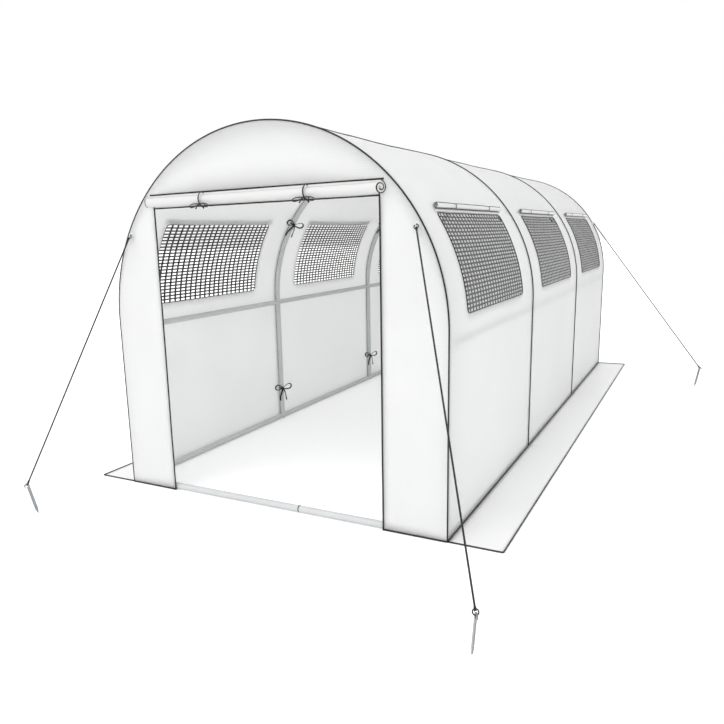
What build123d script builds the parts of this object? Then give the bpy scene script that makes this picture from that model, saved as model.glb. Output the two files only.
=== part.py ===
from build123d import *
import math
import os

# Polytunnel greenhouse: a steel tube frame of round arches under a woven film cover, with netted
# side windows, a roll-up doorway and four guy ropes. Millimetres, +Z up, front towards -Y.
# The origin is on the ground, at the centre of the whole footprint, pegs and ropes included.

# The tunnel
LENGTH = 5000.0            # outside of the front wall to outside of the back wall
WIDTH = 2000.0             # outside of the cover, leg to leg
HEIGHT = 2000.0            # ground to the outside of the cover at the ridge
BAYS = 3                   # spaces between arches
MIDDLE_Y = 430.0           # tunnel's middle behind the middle of the footprint: the pegs are in front
FILM = 3.0                 # cover sheet
COVER_GAP = 2.0            # play between the cover and the tubes
RUN_GAP = 0.3              # clearance between pieces that seat on each other

# The steel frame
TUBE_D = 36.0
TUBE_WALL = 1.2
SPIGOT_LENGTH = 45.0       # plug that a purlin or rail pushes onto
WELD_NECK_D = 20.0         # the plug's root, welded to the arch
COPE_START = 8.0           # arch's centre line to the tips of a tube that is coped round it
PURLIN_HEIGHT = 945.0
SILL_JOINT_X = 170.0       # where the two halves of the front sill meet

# The doorway and the rolled-up door
DOOR_WIDTH = 1340.0
DOOR_HEIGHT = 1615.0
ROLL_D = 66.0
ROLL_SIDE_LAP = 22.0       # how far the rolled door runs past each side of the doorway
ROLL_SLANT = 24.0          # degrees that the roll's ends are turned, so that its front is the shorter
DOOR_TIE_X = 310.0         # from the middle of the doorway to each tie
DOOR_TIE_WIDTH = 10.0

# The side windows and the flaps rolled up over them
WINDOW_BOTTOM = 1060.0
WINDOW_TOP = 1540.0
WINDOW_LENGTH = 1100.0
NET = 1.5
NET_COLUMNS = 8            # openings along a window; the fine threads between them aren't here
NET_ROWS = 6               # openings up a window
NET_BAR = 12.0             # solid netting between two openings
FLAP_ROLL_D = 28.0
FLAP_ROLL_LAP = 20.0       # how far a rolled flap runs past each end of its window
FLAP_ROLL_RISE = 22.0      # its middle over the window's top edge
FLAP_STRAP_WIDTH = 8.0
FLAP_STRAP_INSET = 270.0   # from the end of a rolled flap to the middle of its strap

# The ground skirts
SKIRT_WIDTH = 270.0

# The ribbon ties that hold the cover to the middle arches
TIE_LOW = 250.0
TIE_HIGH = 1545.0
TIE_TURN = 25.0            # degrees that each bow is turned from facing inward to face the doorway
RIBBON = 1.2               # ribbon thickness
TIE_WIDTH = 16.0
BOW_REACH = 76.0           # knot to the end of a loop
BOW_DEPTH = 4.0            # thickness of the bow
BOW_PLUMPNESS = 0.50       # a loop's height over its length, on an arch
BOW_LIFT = 0.125           # middle of a loop over the knot, as a share of its length
BOW_TILT = 12.0            # degrees that each loop is turned up
BOW_EDGE = 0.45            # ribbon seen along the loops, as a share of its width
BOW_KNOT = 1.3             # side of the knot over the ribbon's width
TAIL_LENGTH = 108.0
TAIL_SPREAD = 16.0         # degrees from straight down, to each side
DOOR_BOW_REACH = 62.0
DOOR_BOW_PLUMPNESS = 0.40
DOOR_TAIL_LENGTH = 45.0

# The guy ropes, from a lug near each end of the cover's crown to a peg
ROPE_D = 6.0
EYE_R = 11.0               # centre line of the loop at each end of a rope
KNOT_D = 10.0
ROPE_TUCK = 0.6            # start of the straight rope inside a knot, over the rope's diameter
LUG_ANGLE = 29.5           # degrees up the crown from where it springs
LUG_EDGE = 24.0            # lug's middle in from the corner of wall and cover
LUG_PATCH_D = 30.0
LUG_PATCH = 2.0
LUG_REACH = 14.0           # lug's foot to the middle of the hole
LUG_D = 16.0
LUG_THICKNESS = 4.0
LUG_HOLE_PLAY = 0.6        # on the radius
PEG_PLACES = {             # how far each peg's tip is beyond the side and the end of the tunnel
    "front_right": (370.0, 811.1),
    "front_left": (120.0, 610.0),
    "back_right": (950.0, -900.0),
    "back_left": (950.0, -900.0),
}
PEG_LENGTH = 190.0
PEG_WIDTH = 16.0
PEG_THICKNESS = 6.0
PEG_POINT = 30.0           # length of the tapered tip
PEG_LEAN = 12.0            # degrees from upright, away from the tunnel
HOOK_INNER_R = 7.0
HOOK_BAR = 7.0
HOOK_LIP = 4.0             # how far the hook comes down past its middle

# Worked out from the sizes above
HALF = WIDTH / 2
SPRING = HEIGHT - HALF                        # height where the round crown springs
FRONT = MIDDLE_Y - LENGTH / 2
BACK = MIDDLE_Y + LENGTH / 2
BAY = LENGTH / BAYS
TUBE_R = TUBE_D / 2
BORE_R = TUBE_R - TUBE_WALL
ARCH_R = HALF - FILM - COVER_GAP - TUBE_R     # centre line of the tubes' crown
END_INSET = FILM + COVER_GAP + TUBE_R         # end wall's outside to the end arch's centre line
ARCH_Y = [FRONT + END_INSET]
ARCH_Y += [FRONT + BAY * number for number in range(1, BAYS)]
ARCH_Y += [BACK - END_INSET]
DOOR_HALF = DOOR_WIDTH / 2


def write(name, shape):
    export_step(shape, f"parts/{name}.step")


def box_between(low, high):
    size = [high[i] - low[i] for i in range(3)]
    corner = (Align.MIN, Align.MIN, Align.MIN)
    return Pos(*low) * Box(*size, align=corner)


def other_side(shape):
    """The same piece on the other long side of the tunnel."""
    return mirror(shape, about=Plane.YZ)


def other_end(shape):
    """The same piece at the other end of the tunnel."""
    return mirror(shape, about=Plane.XZ.offset(-MIDDLE_Y))


def across(face, start, end):
    """A face drawn in the tunnel's cross-section, carried along the tunnel from start to end."""
    return extrude(Plane.XZ.offset(-end) * face, end - start)


def half_section(radius, thickness):
    """Right half of a shell that follows the tunnel: an upright leg, then a quarter circle."""
    inner = radius - thickness
    edges = Polyline((inner, SPRING), (inner, 0), (radius, 0), (radius, SPRING))
    edges += CenterArc((0, SPRING), radius, 0, 90)
    edges += Line((0, SPRING + radius), (0, SPRING + inner))
    edges += CenterArc((0, SPRING), inner, 0, 90)
    return make_face(edges)


def end_wall_face():
    """The full outline of an end wall: two legs and a half circle."""
    edges = Polyline((-HALF, SPRING), (-HALF, 0), (HALF, 0), (HALF, SPRING))
    edges += CenterArc((0, SPRING), HALF, 0, 180)
    return make_face(edges)


# Steel frame


def rod(start, direction, length, radius):
    plane = Plane(origin=start, z_dir=direction)
    bottom = (Align.CENTER, Align.CENTER, Align.MIN)
    return plane * Cylinder(radius, length, align=bottom)


def tube(start, direction, length):
    return rod(start, direction, length, TUBE_R) - rod(start, direction, length, BORE_R)


def arch_bar(radius):
    """A round bar bent to the shape of an arch, in the plane y = 0."""
    path = Line((ARCH_R, 0), (ARCH_R, SPRING))
    path += CenterArc((0, SPRING), ARCH_R, 0, 180)
    path += Line((-ARCH_R, SPRING), (-ARCH_R, 0))
    section = Plane(origin=(ARCH_R, 0, 0), z_dir=(0, 0, 1)) * Circle(radius)
    return sweep(section, Plane.XZ * path)


def arch_x(height):
    """How far an arch's centre line is from the middle of the tunnel at a height."""
    rise = max(0.0, height - SPRING)
    return math.sqrt(ARCH_R ** 2 - rise ** 2)


def rail_places():
    """Where the lengthways tubes run: x and z of the rails, purlins and ridge."""
    places = {}
    for side, sign in (("left", -1), ("right", 1)):
        places[f"base_rail_{side}"] = (sign * ARCH_R, TUBE_R)
        places[f"purlin_{side}"] = (sign * arch_x(PURLIN_HEIGHT), PURLIN_HEIGHT)
    places["ridge_purlin"] = (0, SPRING + ARCH_R)
    return places


def mitre(x, y, turn):
    """What a tube on the ground loses at a corner, so that two can meet there at 45 degrees."""
    far = 2 * TUBE_D
    shape = Polygon((0, RUN_GAP), (-far, far), (-far, -far), (far, -far), (far, far), align=None)
    return extrude(Pos(x, y, 0) * Rot(0, 0, turn) * shape, TUBE_D)


ARCH_TUBE = arch_bar(TUBE_R) - arch_bar(BORE_R)
ARCH_CLEARANCE = arch_bar(TUBE_R + RUN_GAP)
SPIGOT_R = BORE_R - RUN_GAP


def spigot(start, away):
    """What a tube pushes onto: a slim neck welded through the arch's wall, then a plug."""
    neck = rod(start, away, TUBE_R + RUN_GAP, WELD_NECK_D / 2)
    shoulder = Vector(*start) + Vector(*away) * (TUBE_R + RUN_GAP)
    return neck + rod(shoulder, away, SPIGOT_LENGTH, SPIGOT_R)


def arch(number):
    """A bent tube with a spigot wherever a rail, purlin or sill pushes on."""
    spigots = []
    for x, z in rail_places().values():
        if number > 0:
            spigots.append(spigot((x, 0, z), (0, -1, 0)))
        if number < BAYS:
            spigots.append(spigot((x, 0, z), (0, 1, 0)))
    if number in (0, BAYS):
        for sign in (-1, 1):
            spigots.append(spigot((sign * ARCH_R, 0, TUBE_R), (-sign, 0, 0)))
    return Pos(0, ARCH_Y[number], 0) * ARCH_TUBE.fuse(*spigots)


def lengthways_tube(x, z):
    """One tube in each bay, with both ends coped round the arches they meet."""
    pieces = []
    for number in range(BAYS):
        start = ARCH_Y[number]
        end = ARCH_Y[number + 1]
        piece = tube((x, start + COPE_START, z), (0, 1, 0), end - start - 2 * COPE_START)
        piece -= Pos(0, start, 0) * ARCH_CLEARANCE
        piece -= Pos(0, end, 0) * ARCH_CLEARANCE
        if z == TUBE_R and number == 0:
            piece -= mitre(x, start, 0)
        if z == TUBE_R and number == BAYS - 1:
            piece -= mitre(x, end, 180)
        pieces.append(piece)
    return pieces


def crossways_tube(y, start, end):
    """A sill tube on the ground between two x places, coped where it meets an arch leg."""
    piece = tube((start, y, TUBE_R), (1, 0, 0), end - start)
    piece -= Pos(0, y, 0) * ARCH_CLEARANCE
    return piece - mitre(-ARCH_R, y, -90) - mitre(ARCH_R, y, 90)


def sill_halves(y):
    """The two front sill tubes: the right one's narrowed end pushes into the left one."""
    left = crossways_tube(y, COPE_START - ARCH_R, SILL_JOINT_X)
    right = crossways_tube(y, SILL_JOINT_X, ARCH_R - COPE_START)
    neck = rod((SILL_JOINT_X - SPIGOT_LENGTH, y, TUBE_R), (1, 0, 0), SPIGOT_LENGTH, SPIGOT_R)
    plug = rod((SILL_JOINT_X, y, TUBE_R), (1, 0, 0), SPIGOT_LENGTH, BORE_R)
    return left, right + plug + neck


# Cover


def window_box(number):
    """The block of space that a window takes out of the right side of a bay."""
    middle = FRONT + BAY * (number + 0.5)
    low = (0, middle - WINDOW_LENGTH / 2, WINDOW_BOTTOM)
    high = (HALF + TUBE_D, middle + WINDOW_LENGTH / 2, WINDOW_TOP)
    return box_between(low, high)


def cover_bay(number):
    """Right half of the cover over one bay."""
    start = FRONT + FILM if number == 0 else FRONT + BAY * number
    end = BACK - FILM if number == BAYS - 1 else FRONT + BAY * (number + 1)
    return across(half_section(HALF, FILM), start, end) - window_box(number)


def window_net(number):
    """Netting that fills one window on the right side, opened up in a plain grid."""
    sheet = across(half_section(HALF - (FILM - NET) / 2, NET), FRONT, BACK)
    net = sheet & window_box(number)
    column = WINDOW_LENGTH / NET_COLUMNS
    row = (WINDOW_TOP - WINDOW_BOTTOM) / NET_ROWS
    start = FRONT + BAY * (number + 0.5) - WINDOW_LENGTH / 2
    openings = []
    for across_cell in range(NET_COLUMNS):
        for up_cell in range(NET_ROWS):
            y = start + across_cell * column
            z = WINDOW_BOTTOM + up_cell * row
            low = (0, y + NET_BAR / 2, z + NET_BAR / 2)
            high = (HALF + TUBE_D, y + column - NET_BAR / 2, z + row - NET_BAR / 2)
            openings.append(box_between(low, high))
    return net.cut(*openings)


def flap_roll(number):
    """A window's cover flap, rolled up over the window on the right side, with two straps."""
    rise = WINDOW_TOP + FLAP_ROLL_RISE - SPRING
    reach = HALF + FLAP_ROLL_D / 2 + RIBBON + RUN_GAP
    angle = math.asin(rise / HALF)
    x = reach * math.cos(angle)
    z = SPRING + reach * math.sin(angle)
    middle = FRONT + BAY * (number + 0.5)
    length = WINDOW_LENGTH + 2 * FLAP_ROLL_LAP
    start = middle - length / 2
    roll = rod((x, start, z), (0, 1, 0), length, FLAP_ROLL_D / 2)
    for place in (start + FLAP_STRAP_INSET, start + length - FLAP_STRAP_INSET):
        strap_start = (x, place - FLAP_STRAP_WIDTH / 2, z)
        roll += rod(strap_start, (0, 1, 0), FLAP_STRAP_WIDTH, FLAP_ROLL_D / 2 + RIBBON)
    return roll


# End walls and skirts


def front_walls():
    """The front wall in three sheets: beside the doorway on each side, and over it."""
    wall = across(end_wall_face(), FRONT, FRONT + FILM)
    before = FRONT - FILM
    behind = FRONT + 2 * FILM
    left = wall & box_between((-HALF, before, 0), (-DOOR_HALF, behind, HEIGHT))
    right = wall & box_between((DOOR_HALF, before, 0), (HALF, behind, HEIGHT))
    header = wall & box_between((-DOOR_HALF, before, DOOR_HEIGHT), (DOOR_HALF, behind, HEIGHT))
    return left, right, header


def ground_skirt():
    """The flap of cover that lies on the ground along the right side."""
    return box_between((HALF, FRONT, 0), (HALF + SKIRT_WIDTH, BACK, FILM))


# The rolled-up door and the ties


def door_roll(y, z):
    """The rolled-up door: a round roll whose ends are turned a little to the front."""
    half = DOOR_HALF + ROLL_SIDE_LAP
    slant = ROLL_D * math.tan(math.radians(ROLL_SLANT))
    reach = half + slant
    roll = rod((-reach, y, z), (1, 0, 0), 2 * reach, ROLL_D / 2)
    front = [(slant - half, -ROLL_D), (half - slant, -ROLL_D)]
    rear = [(half + slant, ROLL_D), (-half - slant, ROLL_D)]
    plan = Polygon(*front, *rear, align=None)
    return roll & extrude(Pos(0, y, z - ROLL_D) * plan, 2 * ROLL_D)


def bow_face(reach, plumpness, tail, width):
    """A flat bow: two loops, a knot in the middle and two tails hanging from it."""
    half_reach = reach / 2
    half_height = half_reach * plumpness
    edge = width * BOW_EDGE
    outer = Ellipse(half_reach, half_height)
    inner = Ellipse(half_reach - edge, half_height - edge)
    spots = [Pos(sign * half_reach, reach * BOW_LIFT) * Rot(0, 0, sign * BOW_TILT) for sign in (-1, 1)]
    face = Sketch()
    for spot in spots:
        face += spot * outer
    for spot in spots:
        face -= spot * inner
    for sign in (-1, 1):
        bottom = (Align.CENTER, Align.MAX)
        face += Rot(0, 0, sign * TAIL_SPREAD) * Rectangle(width, tail, align=bottom)
    face += Rectangle(width * BOW_KNOT, width * BOW_KNOT)
    return face


def band(inner_r, width):
    """A ribbon round a tube or roll whose axis is local z."""
    return Cylinder(inner_r + RIBBON, width) - Cylinder(inner_r, width)


def arch_tie(y, height):
    """A ribbon round the left leg or crown of an arch, tied in a bow inside the tunnel."""
    if height <= SPRING:
        angle = 0.0
        place = Plane(origin=(-ARCH_R, y, height), x_dir=(1, 0, 0), z_dir=(0, 0, 1))
    else:
        angle = math.asin((height - SPRING) / ARCH_R)
        spot = (-ARCH_R * math.cos(angle), y, height)
        up = (math.sin(angle), 0, math.cos(angle))
        inward = (math.cos(angle), 0, -math.sin(angle))
        place = Plane(origin=spot, x_dir=inward, z_dir=up)
    ring = band(TUBE_R + RUN_GAP, TIE_WIDTH)
    face = bow_face(BOW_REACH, BOW_PLUMPNESS, TAIL_LENGTH, TIE_WIDTH)
    seat = TUBE_R + RUN_GAP + RIBBON / 2
    bow_plane = Plane(origin=(seat, 0, 0), x_dir=(0, 1, 0), z_dir=(1, 0, 0))
    bow = extrude(bow_plane * face, BOW_DEPTH)
    return place * Rot(0, 0, -TIE_TURN) * (ring + bow)


def door_tie(x, roll_y, roll_z):
    """A ribbon round the rolled door, with its bow hanging in front of the roll's lower side."""
    place = Plane(origin=(x, roll_y, roll_z), x_dir=(0, -1, 0), z_dir=(1, 0, 0))
    ring = place * band(ROLL_D / 2 + RUN_GAP, DOOR_TIE_WIDTH)
    face = bow_face(DOOR_BOW_REACH, DOOR_BOW_PLUMPNESS, DOOR_TAIL_LENGTH, DOOR_TIE_WIDTH)
    low = roll_z - ROLL_D / 2 - RUN_GAP - RIBBON / 2
    bow_plane = Plane(origin=(x, roll_y, low), x_dir=(1, 0, 0), z_dir=(0, -1, 0))
    bow = extrude(bow_plane * face, BOW_DEPTH / 2, both=True)
    shield = rod((x - ROLL_D, roll_y, roll_z), (1, 0, 0), 2 * ROLL_D, ROLL_D / 2 + RUN_GAP)
    return ring + (bow - shield)


# Guy ropes, lugs and pegs, each made at the front right corner and mirrored to its own.
# A peg's place is how far its tip is beyond the side and the end of the tunnel. The rope starts on
# the end wall where its peg is beyond that wall, and on the side of the cover where it falls short.


def lug_seat(place):
    """The foot of the lug, and the direction in which the lug stands out."""
    angle = math.radians(LUG_ANGLE)
    uphill = Vector(math.cos(angle), 0, math.sin(angle))
    centre = Vector(0, FRONT, SPRING)
    if place[1] > 0:
        return centre + uphill * (HALF - LUG_EDGE), Vector(0, -1, 0)
    return centre + Vector(0, LUG_EDGE, 0) + uphill * (HALF + RUN_GAP), uphill


def lug_hole(place):
    """The middle of the lug's hole."""
    foot, outward = lug_seat(place)
    return foot + outward * LUG_REACH


def peg_tip(place):
    """The peg's point, at ground level."""
    out, ahead = place
    return Vector(HALF + out, FRONT - ahead, 0)


def level_run(place):
    """The level direction from the lug to the peg."""
    run = peg_tip(place) - lug_hole(place)
    return Vector(run.X, run.Y, 0).normalized()


def peg_axes(place):
    """The peg's own directions: up its leaning shank, and outward, square to the shank."""
    lean = math.radians(PEG_LEAN)
    shank = level_run(place) * math.sin(lean) + Vector(0, 0, 1) * math.cos(lean)
    outward = level_run(place) * math.cos(lean) - Vector(0, 0, 1) * math.sin(lean)
    return shank, outward


def hook_centre(place):
    """The middle of the peg's hook, at the top of the leaning shank."""
    shank, outward = peg_axes(place)
    up = PEG_LENGTH - HOOK_INNER_R - HOOK_BAR
    out = HOOK_INNER_R + HOOK_BAR - PEG_WIDTH / 2
    return peg_tip(place) + shank * up + outward * out


def peg(place):
    """A flat tapered stake whose top is bent over into a hook."""
    shank, outward = peg_axes(place)
    top = PEG_LENGTH - HOOK_INNER_R - HOOK_BAR
    half = PEG_WIDTH / 2
    blade = Polygon((0, 0), (half, PEG_POINT), (half, top), (-half, top), (-half, PEG_POINT), align=None)
    outer_r = HOOK_INNER_R + HOOK_BAR
    spot = Pos(outer_r - half, top)
    under = Pos(outer_r - half, top - HOOK_LIP) * Rectangle(outer_r, outer_r, align=(Align.MIN, Align.MAX))
    below = Pos(outer_r - half, top) * Rectangle(outer_r, outer_r, align=(Align.MAX, Align.MAX))
    hook = spot * Circle(outer_r) - under - below
    face = blade + hook - spot * Circle(HOOK_INNER_R)
    plane = Plane(origin=peg_tip(place), x_dir=outward, z_dir=outward.cross(shank))
    return extrude(plane * face, PEG_THICKNESS / 2, both=True)


def rope_end():
    """A loop and its knot: the loop stands on the origin in the plane y = 0, the knot on top of it."""
    loop_plane = Plane(origin=(0, 0, EYE_R), z_dir=(0, 1, 0))
    return loop_plane * Torus(EYE_R, ROPE_D / 2) + Pos(0, 0, 2 * EYE_R) * Sphere(KNOT_D / 2)


def end_place(start, along, side):
    """Where a rope's end goes: its loop starts at start, runs along, and opens towards the side."""
    return Plane(origin=start, x_dir=side, z_dir=along)


def guy_rope(place):
    """A straight rope from the lug to the peg, with a knotted loop at each end."""
    hole = lug_hole(place)
    hook = hook_centre(place)
    along = (hook - hole).normalized()
    eye_inner = EYE_R - ROPE_D / 2
    seat = math.sqrt(eye_inner ** 2 - (PEG_THICKNESS / 2) ** 2) - RUN_GAP
    foot = hook - along * (HOOK_INNER_R + seat - EYE_R)
    top_side = along.cross(lug_seat(place)[1]).normalized()
    low_side = along.cross(level_run(place)).normalized()
    top_place = end_place(hole, along, top_side)
    low_place = end_place(foot, -along, low_side)
    inset = 2 * EYE_R + ROPE_TUCK * ROPE_D
    length = (foot - hole).length - 2 * inset
    run = rod((0, 0, inset), (0, 0, 1), length, ROPE_D / 2)
    return top_place * (rope_end() + run) + low_place * rope_end()


def guy_lug(place):
    """A round patch with an upright ear, which a rope's loop goes through."""
    foot, outward = lug_seat(place)
    hole = lug_hole(place)
    along = (hook_centre(place) - hole).normalized()
    side = along.cross(outward).normalized()
    patch = rod(foot, outward, LUG_PATCH, LUG_PATCH_D / 2)
    ear_plane = Plane(origin=hole, x_dir=outward.cross(side), z_dir=side)
    stem = Pos(0, -LUG_REACH / 2) * Rectangle(LUG_D, LUG_REACH)
    face = Circle(LUG_D / 2) + stem - Circle(ROPE_D / 2 + LUG_HOLE_PLAY)
    ear = extrude(ear_plane * face, LUG_THICKNESS / 2, both=True)
    return patch + ear


def to_corner(shape, corner):
    """A piece of the front right corner, mirrored to the corner that is named."""
    if "left" in corner:
        shape = other_side(shape)
    if "back" in corner:
        shape = other_end(shape)
    return shape


# Write every piece

os.makedirs("parts", exist_ok=True)

for arch_number in range(BAYS + 1):
    write(f"arch_{arch_number + 1}", arch(arch_number))

for rail_name, (rail_x, rail_z) in rail_places().items():
    write(rail_name, Compound(lengthways_tube(rail_x, rail_z)))

front_sill_left, front_sill_right = sill_halves(ARCH_Y[0])
write("front_sill_left", front_sill_left)
write("front_sill_right", front_sill_right)
back_reach = ARCH_R - COPE_START
write("back_sill", crossways_tube(ARCH_Y[BAYS], -back_reach, back_reach))

bays = range(BAYS)
for bay_number in bays:
    right_cover = cover_bay(bay_number)
    write(f"cover_right_{bay_number + 1}", right_cover)
    write(f"cover_left_{bay_number + 1}", other_side(right_cover))

window_nets = Compound([window_net(number) for number in bays])
write("window_nets_right", window_nets)
write("window_nets_left", other_side(window_nets))

flap_rolls = Compound([flap_roll(number) for number in bays])
write("window_flaps_right", flap_rolls)
write("window_flaps_left", other_side(flap_rolls))

wall_left, wall_right, wall_header = front_walls()
write("front_wall_left", wall_left)
write("front_wall_right", wall_right)
write("front_wall_header", wall_header)
write("back_wall", across(end_wall_face(), BACK - FILM, BACK))

write("ground_skirt_right", ground_skirt())
write("ground_skirt_left", other_side(ground_skirt()))

ROLL_Y = FRONT - 2 * RUN_GAP - RIBBON - ROLL_D / 2
ROLL_Z = DOOR_HEIGHT + ROLL_D / 2
write("door_roll", door_roll(ROLL_Y, ROLL_Z))
door_ties = [door_tie(sign * DOOR_TIE_X, ROLL_Y, ROLL_Z) for sign in (-1, 1)]
write("door_ties", Compound(door_ties))

for arch_number in range(1, BAYS):
    ties = [arch_tie(ARCH_Y[arch_number], height) for height in (TIE_LOW, TIE_HIGH)]
    ties += [other_side(tie) for tie in ties]
    write(f"arch_ties_{arch_number + 1}", Compound(ties))

lugs = [to_corner(guy_lug(place), corner) for corner, place in PEG_PLACES.items()]
write("guy_lugs", Compound(lugs))
for corner, place in PEG_PLACES.items():
    write(f"guy_rope_{corner}", to_corner(guy_rope(place), corner))
    write(f"peg_{corner}", to_corner(peg(place), corner))
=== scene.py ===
"""Looks for a polytunnel greenhouse: film cover, netting, rolls, ribbon ties, guy ropes and finishes.

Metres, +Z up, the front wall towards -Y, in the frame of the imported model.
"""

import math

import bmesh
import bpy
import numpy as np
from bpy.props import FloatProperty, FloatVectorProperty, IntProperty, PointerProperty
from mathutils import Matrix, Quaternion, Vector


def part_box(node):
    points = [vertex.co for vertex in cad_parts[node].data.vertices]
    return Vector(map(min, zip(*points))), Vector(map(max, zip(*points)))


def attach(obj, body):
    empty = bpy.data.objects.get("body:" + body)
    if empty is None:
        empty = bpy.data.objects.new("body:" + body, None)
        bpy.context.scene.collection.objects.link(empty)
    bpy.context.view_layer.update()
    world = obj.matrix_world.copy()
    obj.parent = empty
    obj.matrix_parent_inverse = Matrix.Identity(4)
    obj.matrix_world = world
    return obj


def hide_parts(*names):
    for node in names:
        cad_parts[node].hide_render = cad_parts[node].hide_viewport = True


bl_info = {
    "name": "Polytunnel greenhouse",
    "version": (1, 0, 0),
    "blender": (4, 5, 0),
    "location": "3D View > Sidebar > Polytunnel",
    "description": "Dresses a steel tube polytunnel with film, netting, piping, ties and guy ropes",
    "category": "Object",
}

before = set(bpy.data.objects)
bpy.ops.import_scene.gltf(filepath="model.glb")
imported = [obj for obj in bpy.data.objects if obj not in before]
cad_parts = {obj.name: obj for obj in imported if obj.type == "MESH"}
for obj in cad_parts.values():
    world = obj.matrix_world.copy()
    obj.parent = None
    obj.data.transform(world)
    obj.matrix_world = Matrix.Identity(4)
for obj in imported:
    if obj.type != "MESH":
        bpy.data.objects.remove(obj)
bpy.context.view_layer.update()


# ---------------------------------------------------------------- places read from the model


def node_box(node):
    """Lowest and highest corner of a node of the model, as arrays."""
    low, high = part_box(node)
    return np.array(low), np.array(high)


BAYS = 3
COVER_HIGH = node_box("cover_right_1")[1]
HALF = float(COVER_HIGH[0])  # middle of the tunnel to the outside of the cover
SPRING = float(COVER_HIGH[2]) - HALF  # height where the round crown springs
FRONT = float(node_box("front_wall_left")[0][1])
BACK = float(node_box("back_wall")[1][1])
MIDDLE = np.array([0.0, (FRONT + BACK) / 2, 0.0])
SIDES = {"right": np.array([1, 1, 1]), "left": np.array([-1, 1, 1])}  # signs of x, y and z
BAY = (BACK - FRONT) / BAYS
SEAMS = FRONT + BAY * np.arange(BAYS + 1)
BAY_MIDDLES = (SEAMS[:-1] + SEAMS[1:]) / 2
DOOR_HALF = float(node_box("front_wall_right")[0][0])
DOOR_TOP = float(node_box("front_wall_header")[0][2])
NET_LOW, NET_HIGH = node_box("window_nets_right")
WINDOW_HALF = FRONT + BAY / 2 - float(NET_LOW[1])
SKIRT_EDGE = float(node_box("ground_skirt_right")[1][0])
AROUND = 2 * SPRING + math.pi * HALF  # ground to ground over the crown

RIDGE_LOW, RIDGE_HIGH = node_box("ridge_purlin")
TUBE_R = float(RIDGE_HIGH[0] - RIDGE_LOW[0]) / 2
ARCH_R = float(RIDGE_HIGH[2]) - TUBE_R - SPRING
PURLIN_Z = float(sum(c[2] for c in node_box("purlin_right"))) / 2

ROLL_LOW, ROLL_HIGH = node_box("door_roll")
ROLL_CENTRE = (ROLL_LOW + ROLL_HIGH) / 2
ROLL_R = float(ROLL_HIGH[2] - ROLL_LOW[2]) / 2
ROLL_SLANT = math.tan(math.radians(24))  # the roll's ends are turned a little to the front
ROLL_LENGTH = 2 * (float(ROLL_HIGH[0]) - ROLL_R * ROLL_SLANT)
DOOR_SEAM_Z = float(ROLL_CENTRE[2]) + 0.038  # height of the seam that the door sheet hangs from
FLAP_LOW, FLAP_HIGH = node_box("window_flaps_right")
FLAP_CENTRE = (FLAP_LOW + FLAP_HIGH) / 2
FLAP_HEM_TURNS = (math.radians(84), math.radians(-96))  # where a flap's bound hems lie round its roll
RIBBON = 0.0012  # thickness of every ribbon
FLAP_R = float(FLAP_HIGH[2] - FLAP_LOW[2]) / 2 - RIBBON
FLAP_LENGTH = 2 * (FRONT + BAY / 2 - float(FLAP_LOW[1]))

# Places of the small parts, as they are in the model
FLAP_STRAP_INSET = 0.270
FLAP_STRAP_WIDTH = 0.008
DOOR_TIE_X = 0.310
ARCH_TIE_HEIGHTS = (0.250, 1.545)
TIE_TURN = math.radians(25)  # from facing straight inwards to facing the doorway
LUG_ANGLE, LUG_EDGE, LUG_REACH = math.radians(29.5), 0.024, 0.014
PEG_LENGTH, PEG_WIDTH, PEG_THICKNESS = 0.190, 0.016, 0.006
PEG_LEAN, HOOK_INNER_R, HOOK_BAR = math.radians(12), 0.007, 0.007
EYE_R = 0.011  # middle of a rope's loop to the middle of its cord

# Each corner: its side and its end as signs, then how far its peg is beyond that side and that end
CORNERS = {
    "front_right": (1, 1, 0.370, 0.8111),
    "front_left": (-1, 1, 0.120, 0.610),
    "back_right": (1, -1, 0.950, -0.900),
    "back_left": (-1, -1, 0.950, -0.900),
}


# ---------------------------------------------------------------- shapes as grids of points


def ease(t):
    """Smooth step: 0 below 0, 1 above 1, and three t squared minus two t cubed between."""
    t = np.clip(t, 0.0, 1.0)
    return t * t * (3 - 2 * t)


def unit(vectors):
    """Each vector divided by its length."""
    return vectors / np.maximum(np.linalg.norm(vectors, axis=-1, keepdims=True), 1e-12)


def cuts(breaks, step):
    """Numbers from the first break to the last, through each, about a step apart."""
    runs = [
        np.linspace(a, b, max(1, round(abs(b - a) / step)) + 1) for a, b in zip(breaks, breaks[1:])
    ]
    return np.concatenate([run[:-1] for run in runs] + [[breaks[-1]]])


# Each wave of the unevenness: how fast it turns along both coordinates, and where it starts
UNEVEN = (
    (3.1, 1.7, 0.2),
    (-5.3, 4.1, 1.9),
    (9.7, 2.3, 4.0),
    (2.9, -11.3, 2.6),
    (14.9, 8.3, 5.2),
)
UNEVEN_REACH = 2.3  # about the most that the waves add up to


def unevenness(a, b):
    """Between about -1 and 1: sine waves across the sheet, each of its own direction and length, the first
    whole, the second a half, the third a third and so on, added."""
    waves = (np.sin(fa * a + fb * b + phase) / (k + 1) for k, (fa, fb, phase) in enumerate(UNEVEN))
    return sum(waves) / UNEVEN_REACH


def up_cover(height):
    """How far up the right side of the cover, measured along it, a height is."""
    if height <= SPRING:
        return height
    return SPRING + HALF * math.asin((height - SPRING) / HALF)


WINDOW_LOW_S = up_cover(float(NET_LOW[2]))
WINDOW_HIGH_S = up_cover(float(NET_HIGH[2]))
HELD_S = np.array([0.0, PURLIN_Z, AROUND / 2, AROUND - PURLIN_Z, AROUND])
SLACK_FROM_ARCH, SLACK_FROM_TUBE = 0.60, 0.45  # how far from an arch and from a tube the slack is whole
SLACK_UNEVEN = 0.35  # share of the slack that is uneven


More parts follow.
